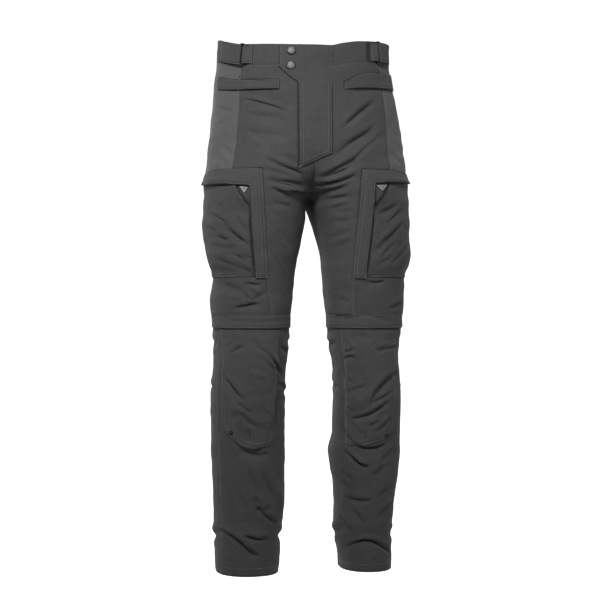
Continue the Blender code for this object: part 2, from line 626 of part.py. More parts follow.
def knee_patch(side_name):
    inner, outer = KNEE_EDGES[side_name]
    corner, power = KNEE_CORNERS[side_name]
    foot = []
    for step in range(KNEE_STEPS + 1):
        across = -math.cos(math.pi * step / KNEE_STEPS)
        curve = 1 - (1 - abs(across) ** power) ** (1 / power)
        foot.append(((inner + outer) / 2 - across * (outer - inner) / 2, KNEE_FOOT + corner * curve))
    outline = [(inner, KNEE_TOP), (outer, KNEE_TOP)] + foot

    def knee_under(place, at_level):
        across = float(np.clip((abs(place) - inner) / (outer - inner), 0, 1))
        down = (KNEE_TOP - at_level) / (KNEE_TOP - KNEE_FOOT)
        full = ramp(down, 0.02, 0.30) * (1 - ramp(down, 0.66, 0.92))
        return LIES + KNEE_STANDS * full * math.sin(math.pi * across)

    cut_piece(f"knee_patch_{side_name}", [on_side(SIDES[side_name], outline)], SHELL, knee_under, TRIM)


for side in SIDES:
    knee_patch(side)


def local_frame(place, at_level, away):
    """A point off the cloth, and the directions along the waist, up and out of it."""
    point, out = on_net(place, at_level)
    ahead = on_net(place + 0.02, at_level)[0] - on_net(place - 0.02, at_level)[0]
    along = ahead - out * (ahead @ out)
    along /= np.linalg.norm(along)
    up = np.cross(out, along)
    up *= math.copysign(1, up[2])
    return point + out * away, along, up, out


def placed(spot, frame):
    """A point given along, up and out of a place on the cloth, as a point of the part."""
    origin, along, up, out = frame
    return origin + along * spot[0] + up * spot[1] + out * spot[2]


# Waist adjusters: on each side a plastic ring, a loop that holds it, and a strap through it
RING_PLACE = {"right": -1.225, "left": 1.20}
STRAP_END = {"right": -1.58, "left": 1.52}
RING_HEIGHT, RING_WIDTH, RING_BAR = 0.0440, 0.0120, 0.0014
RING_CORNER = 0.0022
STRAP_HEIGHT, LOOP_HEIGHT = 0.0370, 0.0330
STRAP_LEVEL = 0.0005
STRAP_TUCK, LOOP_TUCK = 0.010, 0.004  # how far each runs back behind its bar
PAST_BAR = 0.0035
STRAP_LANDS, LOOP_LANDS = 0.10, 0.115  # how many columns past the ring's middle each meets the cloth
RING_AWAY = LIES + TRIM + 0.0010 + RING_BAR
TURN = RING_BAR + 0.0003 + TRIM / 2  # from the middle of a bar to the middle of the cloth round it


def ring(side_name):
    """A rectangular ring of round bar, with rounded corners."""
    frame = local_frame(RING_PLACE[side_name], STRAP_LEVEL, RING_AWAY)
    half_u, half_v = RING_WIDTH / 2 - RING_BAR, RING_HEIGHT / 2 - RING_BAR
    route = []
    for quarter, (u, v) in enumerate(((1, 1), (-1, 1), (-1, -1), (1, -1))):
        centre_u, centre_v = u * (half_u - RING_CORNER), v * (half_v - RING_CORNER)
        for step in range(4):
            angle = (quarter + step / 3) * math.pi / 2
            spot = (centre_u + RING_CORNER * math.cos(angle), centre_v + RING_CORNER * math.sin(angle), 0)
            route.append(placed(spot, frame))
    curve = bpy.data.curves.new(f"waist_ring_{side_name}", "CURVE")
    curve.dimensions = "3D"
    curve.bevel_depth = RING_BAR
    curve.bevel_resolution = 2
    spline = curve.splines.new("POLY")
    spline.points.add(len(route) - 1)
    for point, co in zip(spline.points, route):
        point.co = (*co, 1)
    spline.use_cyclic_u = True
    curve.materials.append(PLASTIC)
    made = bpy.data.objects.new(f"waist_ring_{side_name}", curve)
    bpy.context.scene.collection.objects.link(made)


def folded_strap(name, side_name, way, tucked, far_places, height):
    """A strap folded round one bar of the ring. It starts behind the bar, turns round it and goes
    on over the waistband to the last of the far places. way is 1 away from the front, -1 to it."""
    sign = SIDES[side_name]
    frame = local_frame(RING_PLACE[side_name], STRAP_LEVEL, RING_AWAY)
    bar = way * (RING_WIDTH / 2 - RING_BAR)
    line = [(bar + way * tucked, -TURN), (bar + way * tucked / 2, -TURN)]
    for step in range(7):
        angle = math.pi / 2 + step * math.pi / 6
        line.append((bar - way * TURN * math.sin(angle - math.pi / 2), -TURN * math.sin(angle)))
    line.append((bar + way * PAST_BAR, TURN))
    line = np.array(line)
    along = np.gradient(line, axis=0)
    along /= np.linalg.norm(along, axis=1, keepdims=True)
    aside = np.stack([-along[:, 1], along[:, 0]], axis=1) * TRIM / 2 * way
    start = RING_AWAY + TURN
    rows = []
    for v in (height / 2, -STRAP_LEVEL, -height / 2):
        skins = ([], [])
        for skin, reach in zip(skins, (1, -1)):
            skin += [placed((u * sign, v, w), frame) for u, w in line + aside * reach]
            for k, place in enumerate(far_places):
                down = (k + 1) / len(far_places)
                centre = start + (LIES + TRIM / 2 - start) * down
                point, out = on_net(place, STRAP_LEVEL + v)
                skin.append(point + out * (centre + reach * TRIM / 2))
        rows.append(skins)
    outer = np.array([skins[0] for skins in rows])
    inner = np.array([skins[1] for skins in rows])
    return thick_sheet(name, outer, inner, WEBBING)


for side, sign in SIDES.items():
    ring(side)
    start = abs(RING_PLACE[side])
    end = abs(STRAP_END[side])
    behind = [c for c in COLUMNS if start + STRAP_LANDS < c < end - 0.02] + [end]
    folded_strap(f"waist_strap_{side}", side, 1, STRAP_TUCK, [sign * c for c in behind], STRAP_HEIGHT)
    folded_strap(f"ring_loop_{side}", side, -1, LOOP_TUCK, [sign * (start - LOOP_LANDS)], LOOP_HEIGHT)


def turned(name, profile, frame, material, sides=16):
    """A round piece turned from a profile of (radius, height) points about the cloth's normal."""
    shape = bmesh.new()
    rounds = []
    for radius, height in profile:
        if radius == 0:
            rounds.append([shape.verts.new(placed((0, 0, height), frame))] * sides)
            continue
        angles = [2 * math.pi * k / sides for k in range(sides)]
        spots = [(radius * math.cos(a), radius * math.sin(a), height) for a in angles]
        rounds.append([shape.verts.new(placed(spot, frame)) for spot in spots])
    closed = profile[0][0] > 0
    for first, second in zip(rounds, rounds[1:] + rounds[:1] if closed else rounds[1:]):
        for k in range(sides):
            m = (k + 1) % sides
            corners = [first[k], first[m], second[m], second[k]]
            shape.faces.new(list(dict.fromkeys(corners)))
    return finish_object(name, shape, material)


# Snaps on the fly's tab, each a dark foot and a domed cap
SNAP_PLACES = {"upper": (-0.374, 0.009), "lower": (-0.382, -0.0195)}
SNAP_FOOT, SNAP_CAP = 0.0090, 0.0076  # their radii
SNAP_GAP, CAP_SITS = 0.0004, 0.0014  # under the foot, and from the foot's underside to the cap's
for name, (place, at_level) in SNAP_PLACES.items():
    seat = LIES + TRIM + SNAP_GAP
    foot_profile = [(0, 0), (SNAP_FOOT, 0), (SNAP_FOOT, 0.0008), (0, 0.0011)]
    turned(f"snap_foot_{name}", foot_profile, local_frame(place, at_level, seat), DARK_METAL)
    cap_profile = [(0, 0), (SNAP_CAP, 0), (SNAP_CAP, 0.0009)]
    cap_profile += [(0.0064, 0.0021), (0.0034, 0.0026), (0, 0.0027)]
    turned(f"snap_cap_{name}", cap_profile, local_frame(place, at_level, seat + CAP_SITS), METAL)

# Small eyelets near the foot of each knee patch
EYELET_PLACES = {"right": (-1.38, -0.7365), "left": (1.32, -0.7450)}
EYELET_REACH, EYELET_HOLE, EYELET_GAP = 0.0046, 0.0018, 0.0010
for side, (place, at_level) in EYELET_PLACES.items():
    seat = LIES + TRIM + EYELET_GAP
    profile = [(EYELET_HOLE, 0), (EYELET_REACH, 0), (EYELET_REACH, 0.0006)]
    profile += [(0.0034, 0.0012), (EYELET_HOLE, 0.0006)]
    turned(f"eyelet_{side}", profile, local_frame(place, at_level, seat), DARK_METAL)
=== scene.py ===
# %% [markdown]
# # Motorcycle trousers
#
# Grey cloth trousers, filled out as if worn, with nobody in them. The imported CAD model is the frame:
# its solids have the true sizes and plain surfaces. In this lesson each cloth solid is replaced by a
# thin shell cut from the same pattern on a much finer net, and then gets its creases, its seams, its
# stitching and its weave. The rings, snaps and eyelets are made again with finer rims.

# %% Load the frame
import json
import math

import bmesh
import bpy
import numpy as np
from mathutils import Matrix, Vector
from mathutils.bvhtree import BVHTree
from mathutils.kdtree import KDTree

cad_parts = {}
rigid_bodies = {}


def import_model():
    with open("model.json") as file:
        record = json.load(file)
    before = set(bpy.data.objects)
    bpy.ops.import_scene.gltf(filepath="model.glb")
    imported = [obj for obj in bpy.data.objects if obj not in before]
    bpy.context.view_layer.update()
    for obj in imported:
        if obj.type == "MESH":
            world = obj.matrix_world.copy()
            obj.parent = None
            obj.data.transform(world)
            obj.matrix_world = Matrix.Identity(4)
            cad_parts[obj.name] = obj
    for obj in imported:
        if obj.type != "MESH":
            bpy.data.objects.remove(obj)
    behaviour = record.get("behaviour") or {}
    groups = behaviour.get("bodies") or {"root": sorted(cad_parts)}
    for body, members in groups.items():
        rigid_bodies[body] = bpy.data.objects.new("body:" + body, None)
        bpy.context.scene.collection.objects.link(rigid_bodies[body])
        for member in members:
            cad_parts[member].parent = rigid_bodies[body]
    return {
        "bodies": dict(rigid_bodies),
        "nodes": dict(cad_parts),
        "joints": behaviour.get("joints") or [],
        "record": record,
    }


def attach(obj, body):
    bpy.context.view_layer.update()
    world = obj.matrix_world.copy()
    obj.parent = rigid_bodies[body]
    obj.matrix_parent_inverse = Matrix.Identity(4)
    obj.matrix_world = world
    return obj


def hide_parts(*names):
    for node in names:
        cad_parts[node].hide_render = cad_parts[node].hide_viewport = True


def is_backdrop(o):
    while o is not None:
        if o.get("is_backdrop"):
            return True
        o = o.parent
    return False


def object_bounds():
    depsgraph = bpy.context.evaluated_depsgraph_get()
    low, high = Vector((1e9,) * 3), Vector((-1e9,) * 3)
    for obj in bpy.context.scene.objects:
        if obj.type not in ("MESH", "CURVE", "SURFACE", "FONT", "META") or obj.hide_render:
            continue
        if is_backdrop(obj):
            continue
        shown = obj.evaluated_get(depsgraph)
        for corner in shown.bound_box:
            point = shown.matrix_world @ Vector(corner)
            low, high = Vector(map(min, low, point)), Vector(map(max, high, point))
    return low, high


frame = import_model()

cad_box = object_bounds()
print("CAD box, m:", [tuple(round(v, 4) for v in corner) for corner in cad_box])

# %% [markdown]
# ## Camera
#
# The photograph is taken from the front, 8.5 degrees round to the wearer's right, at half the height
# of the trousers and with a long lens, so the legs hardly converge.

# %% Set up the camera


def add_object(name, data):
    """An object in the scene, at the origin."""
    made = bpy.data.objects.new(name, data)
    bpy.context.scene.collection.objects.link(made)
    return made


VIEW_TURN = math.radians(8.5)
VIEW_AWAY, VIEW_HEIGHT = 2.9, -0.495
camera_data = bpy.data.cameras.new("camera")
camera_data.lens, camera_data.sensor_width = 86.5, 36.0
camera = add_object("camera", camera_data)
camera.location = (-VIEW_AWAY * math.sin(VIEW_TURN), -VIEW_AWAY * math.cos(VIEW_TURN), VIEW_HEIGHT)
camera.rotation_euler = (math.radians(90), 0, -VIEW_TURN)
bpy.context.scene.camera = camera
print("camera at", tuple(round(v, 3) for v in camera.location))

# %% [markdown]
# ## The form
#
# A tailor's form comes first: a net of sections from the waist to the hems. These are the tables of
# the CAD model, repeated so that the cloth lies exactly where its solids are. One row for each
# section: its height, the outermost and innermost reach of each leg, and the front and back. Where
# the inner reach is negative, the two legs run together along the rise.

# %% Tables of the form
WALL, TRIM, SEAM, LIES = 0.0016, 0.0012, 0.0004, 0.0006
WAIST_TOP, WAIST_SEAM, BAND_TOP, BAND_FOOT, HEM = 0.022, -0.021, -0.513, -0.537, -1.016
SECTION_COLUMNS = ("height", "right_outer", "right_inner", "left_outer", "left_inner", "front", "back")
SECTIONS = [
    (0.050, 0.173, -0.173, 0.163, -0.163, -0.116, 0.108),
    (0.020, 0.174, -0.174, 0.163, -0.163, -0.117, 0.110),
    (-0.021, 0.176, -0.176, 0.164, -0.164, -0.120, 0.114),
    (-0.068, 0.181, -0.181, 0.170, -0.170, -0.124, 0.122),
    (-0.108, 0.184, -0.184, 0.180, -0.180, -0.128, 0.132),
    (-0.147, 0.188, -0.186, 0.187, -0.183, -0.130, 0.142),
    (-0.187, 0.192, -0.152, 0.193, -0.150, -0.131, 0.148),
    (-0.227, 0.196, -0.088, 0.198, -0.088, -0.131, 0.149),
    (-0.262, 0.198, -0.032, 0.199, -0.032, -0.129, 0.144),
    (-0.290, 0.198, 0.0010, 0.199, 0.0010, -0.127, 0.137),
    (-0.305, 0.197, 0.0024, 0.196, 0.0040, -0.125, 0.131),
    (-0.330, 0.194, 0.005, 0.193, 0.014, -0.122, 0.124),
    (-0.365, 0.191, 0.012, 0.191, 0.024, -0.119, 0.115),
    (-0.405, 0.186, 0.020, 0.193, 0.032, -0.115, 0.106),
    (-0.440, 0.183, 0.026, 0.193, 0.034, -0.112, 0.099),
    (-0.484, 0.190, 0.030, 0.191, 0.038, -0.109, 0.093),
    (-0.537, 0.184, 0.036, 0.186, 0.044, -0.107, 0.087),
    (-0.583, 0.183, 0.039, 0.179, 0.048, -0.107, 0.080),
    (-0.623, 0.185, 0.043, 0.180, 0.054, -0.105, 0.076),
    (-0.682, 0.189, 0.045, 0.185, 0.054, -0.099, 0.073),
    (-0.741, 0.188, 0.044, 0.185, 0.053, -0.090, 0.075),
    (-0.781, 0.187, 0.043, 0.186, 0.045, -0.084, 0.079),
    (-0.860, 0.182, 0.043, 0.178, 0.058, -0.073, 0.086),
    (-0.939, 0.180, 0.050, 0.171, 0.059, -0.064, 0.089),
    (-1.009, 0.177, 0.053, 0.172, 0.069, -0.059, 0.090),
    (-1.040, 0.171, 0.055, 0.168, 0.069, -0.058, 0.090),
]
FRONT_SQUARENESS, BACK_SQUARENESS = 2.2, 2.6
SEAM_COLUMNS = ("height", "inner_reach", "right_front_seam", "left_front_seam", "back_seam")
SEAM_LINES = [
    (0.050, 0.030, 0.098, 0.098, 0.040),
    (-0.020, 0.030, 0.098, 0.098, 0.044),
    (-0.108, 0.030, 0.098, 0.097, 0.056),
    (-0.180, 0.030, 0.100, 0.093, 0.063),
    (-0.230, 0.030, 0.103, 0.089, 0.068),
    (-0.300, 0.029, 0.099, 0.085, 0.069),
    (-0.350, 0.024, 0.096, 0.082, 0.066),
    (-0.440, 0.016, 0.090, 0.077, 0.056),
    (-0.530, 0.012, 0.081, 0.079, 0.050),
    (-0.680, 0.012, 0.081, 0.081, 0.036),
    (-0.800, 0.012, 0.082, 0.082, 0.038),
    (-1.040, 0.012, 0.086, 0.086, 0.052),
]
KNOT_COLUMNS = (0, 0.2, 1, 2, 2.8, 3)
WAIST_COLUMNS = ("share", "rise")
WAIST_LINE = [
    (-1.00, 0.010), (-0.60, 0.005), (-0.47, 0.000), (-0.38, -0.010), (-0.30, -0.018),
    (-0.20, -0.020), (0.00, -0.022), (0.06, -0.022), (0.12, -0.016), (0.20, -0.010),
    (0.30, -0.007), (0.45, -0.004), (0.60, 0.003), (1.00, 0.010),
]
WAIST_RISE_ENDS, HEM_RISE_STARTS = -0.130, -0.780
HEM_RISE = {"right": 0.000, "left": 0.003}
SIDES = {"right": -1, "left": 1}
print(len(SECTIONS), "sections and", len(SEAM_LINES), "rows of seam lines")

# %% [markdown]
# The cloth is laid out flat in two numbers. A place is the way round a leg: 0 at the inseam or the
# middle of the front, 1 at the front seam, 2 at the back seam, 3 at the inseam or the middle of the
# back, and negative on the right. A level is the height before the waist line rises and falls.

# %% Read the form at any place and level


def named(columns, rows):
    """A table's rows as one array for each named column."""
    return {name: np.array([row[i] for row in rows]) for i, name in enumerate(columns)}


def smooth(at, knots, values):
    """A curve through a table's values that stays between neighbours, for knots in rising order."""
    slopes = np.diff(values) / np.diff(knots)
    bends = np.zeros(len(knots))
    together = slopes[1:] * slopes[:-1] > 0
    bends[1:-1][together] = 2 / (1 / slopes[1:][together] + 1 / slopes[:-1][together])
    at = np.clip(at, knots[0], knots[-1])
    i = np.clip(np.searchsorted(knots, at) - 1, 0, len(knots) - 2)
    gap = knots[i + 1] - knots[i]
    t = (at - knots[i]) / gap
    ease = t * t * (3 - 2 * t)
    bend = gap * t * (1 - t) * (bends[i] * (1 - t) - bends[i + 1] * t)
    return values[i] * (1 - ease) + values[i + 1] * ease + bend


def ramp(at, start, end):
    """0 before start, 1 after end, and eased between."""
    t = np.clip((np.asarray(at, float) - start) / (end - start), 0, 1)
    return t * t * (3 - 2 * t)


def unit(vectors):
    """Vectors of the same directions, one long."""
    return vectors / np.linalg.norm(vectors, axis=-1, keepdims=True)


FORM_STEP = 0.001
FORM_HEIGHTS = np.arange(-1.040, 0.0501, FORM_STEP)
FORM_SHARES = np.linspace(0, 1, 241)
section_table = named(SECTION_COLUMNS, SECTIONS[::-1])
seam_table = named(SEAM_COLUMNS, SEAM_LINES[::-1])
waist_table = named(WAIST_COLUMNS, WAIST_LINE)


def section_outline(side_name, height):
    """Points of one leg's section from the centre front round the side to the centre back."""
    names = ("front", "back", side_name + "_outer", side_name + "_inner")
    front, back, outer, inner = (
        float(smooth(height, section_table["height"], section_table[n])) for n in names
    )
    turn = np.linspace(-math.pi, math.pi, 721)
    power = np.where(turn < 0, 2 / FRONT_SQUARENESS, 2 / BACK_SQUARENESS)
    x = (outer + inner) / 2 + (outer - inner) / 2 * np.sign(np.cos(turn)) * np.abs(np.cos(turn)) ** power
    y = (front + back) / 2 + (back - front) / 2 * np.sign(np.sin(turn)) * np.abs(np.sin(turn)) ** power
    kept = x >= 0
    first, last = np.argmax(kept), len(kept) - 1 - np.argmax(kept[::-1])
    x, y = x[first : last + 1], y[first : last + 1]
    if inner < 0:
        x[0] = x[-1] = 0.0
    return x, y


def make_form(side_name):
    """The net of x and y for one side, evenly spaced round each section, and each section's length."""
    net = np.zeros((len(FORM_HEIGHTS), len(FORM_SHARES), 2))
    girth = np.zeros(len(FORM_HEIGHTS))
    for i, height in enumerate(FORM_HEIGHTS):
        x, y = section_outline(side_name, height)
        along = np.concatenate([[0], np.cumsum(np.hypot(np.diff(x), np.diff(y)))])
        girth[i] = along[-1]
        net[i, :, 0] = np.interp(FORM_SHARES, along / along[-1], x)
        net[i, :, 1] = np.interp(FORM_SHARES, along / along[-1], y)
    return net, girth


FORM, GIRTH = {}, {}
for side in SIDES:
    FORM[side], GIRTH[side] = make_form(side)
joined = (FORM["right"][:, 0, 0] < 1e-9) & (FORM["left"][:, 0, 0] < 1e-9)
for end in (0, -1):
    shared = (FORM["right"][joined, end, 1] + FORM["left"][joined, end, 1]) / 2
    for side in SIDES:
        FORM[side][joined, end, 1] = shared


def knot_shares(side_name):
    """The share of the way round that each knot column has, a row for each height of the form."""
    rows = []
    for i, height in enumerate(FORM_HEIGHTS):
        x, y = FORM[side_name][i].T
        inner = float(smooth(height, section_table["height"], section_table[side_name + "_inner"]))
        reach, front_seam, back_seam = (
            float(smooth(height, seam_table["height"], seam_table[name]))
            for name in ("inner_reach", side_name + "_front_seam", "back_seam")
        )
        near = max(inner, 0) + reach
        out, back = int(np.argmax(x)), int(np.argmax(y))
        front = np.interp([near, front_seam], x[: out + 1], FORM_SHARES[: out + 1])
        side_back = np.interp(back_seam, y[out : back + 1], FORM_SHARES[out : back + 1])
        near_back = np.interp(near, x[out:][::-1], FORM_SHARES[out:][::-1])
        rows.append([0, *front, side_back, near_back, 1])
    return np.array(rows)


KNOT_SHARES = {name: knot_shares(name) for name in SIDES}


def form_point(side_name, share, height):
    """Points on one side's form, read between the net's own points."""
    net = FORM[side_name]
    row = np.clip((height - FORM_HEIGHTS[0]) / FORM_STEP, 0, len(FORM_HEIGHTS) - 1.001)
    column = np.clip(share, 0, 1) * (len(FORM_SHARES) - 1.001)
    i, j = row.astype(int), column.astype(int)
    u, v = (row - i)[..., None], (column - j)[..., None]
    low = net[i, j] * (1 - v) + net[i, j + 1] * v
    high = net[i + 1, j] * (1 - v) + net[i + 1, j + 1] * v
    flat = low * (1 - u) + high * u
    return np.stack([flat[..., 0] * SIDES[side_name], flat[..., 1], height], axis=-1)


def share_at(side_name, column, level):
    """The share of the way round that a column has at a level."""
    knots = [np.interp(level, FORM_HEIGHTS, k) for k in KNOT_SHARES[side_name].T]
    share = knots[0]
    for i in range(5):
        part_way = np.clip((column - KNOT_COLUMNS[i]) / (KNOT_COLUMNS[i + 1] - KNOT_COLUMNS[i]), 0, 1)
        share = share + (knots[i + 1] - knots[i]) * part_way
    return share


def true_height(side_name, share, level):
    """The height of a level, which rises and falls round the waist and round each hem."""
    rise = smooth(SIDES[side_name] * share, waist_table["share"], waist_table["rise"])
    waist = rise * ramp(level, WAIST_RISE_ENDS, WAIST_SEAM)
    return level + waist + HEM_RISE[side_name] * ramp(-level, -HEM_RISE_STARTS, -HEM)


print("girth of one leg at the knee, m:", round(float(np.interp(-0.6, FORM_HEIGHTS, GIRTH["left"])), 3))

# %% [markdown]
# ## Creases
#
# Worn canvas doesn't ripple evenly. It pulls from the crotch and the knees in a few soft troughs
# with raised shoulders, of different lengths, widths and depths. Each row below is one of them, as
# seen from the front, the back or a side. The first table holds the folds that the CAD model has
# too, and the second the finer creases. The back is worn like the front, so it has similar ones.

# %% Tables of folds and creases


def in_metres(*groups):
    """A table's rows in metres, each after the side it is seen from. The tables are in millimetres:
    start across and its height, end across and its height, sag, width and depth."""
    return [(side, *(round(value / 1000, 5) for value in row)) for side, rows in groups for row in rows]


FOLDS = in_metres(
    ("front", [
        (-138, -98, -46, -124, 5, 10, 4), (-92, -212, -12, -250, 6, 11, 6), (-88, -250, -8, -268, 4, 10, 7),
        (12, -256, 88, -208, -4, 10, 7), (10, -272, 92, -244, -4, 10, 6), (62, -142, 122, -100, 3, 12, 3),
        (40, -192, 118, -158, -3, 12, 3), (-156, -500, -92, -490, 3, 10, 6),
        (96, -448, 150, -440, -2, 12, 5), (-172, -628, -132, -690, -4, 10, 5),
        (-170, -672, -144, -738, -4, 10, 5), (116, -684, 166, -620, 4, 11, 6),
        (74, -712, 146, -680, 4, 12, 5), (-142, -768, -80, -776, -6, 12, 8),
        (70, -764, 140, -766, -6, 12, 8), (-176, -938, -82, -998, 0, 14, 7),
        (68, -966, 164, -976, 22, 14, 7), (66, -776, 122, -806, -2, 13, 6),
    ]),
    ("back", [
        (-150, -262, -46, -286, -6, 14, 4.5), (150, -264, 50, -288, -6, 14, 4.5),
        (-160, -560, -60, -570, -6, 12, 7), (160, -566, 62, -560, -6, 12, 7),
        (-165, -640, -60, -625, -8, 12, 7), (166, -632, 64, -646, -8, 12, 7),
        (-150, -920, -66, -950, 6, 14, 6), (150, -930, 74, -950, 8, 14, 6),
    ]),
)
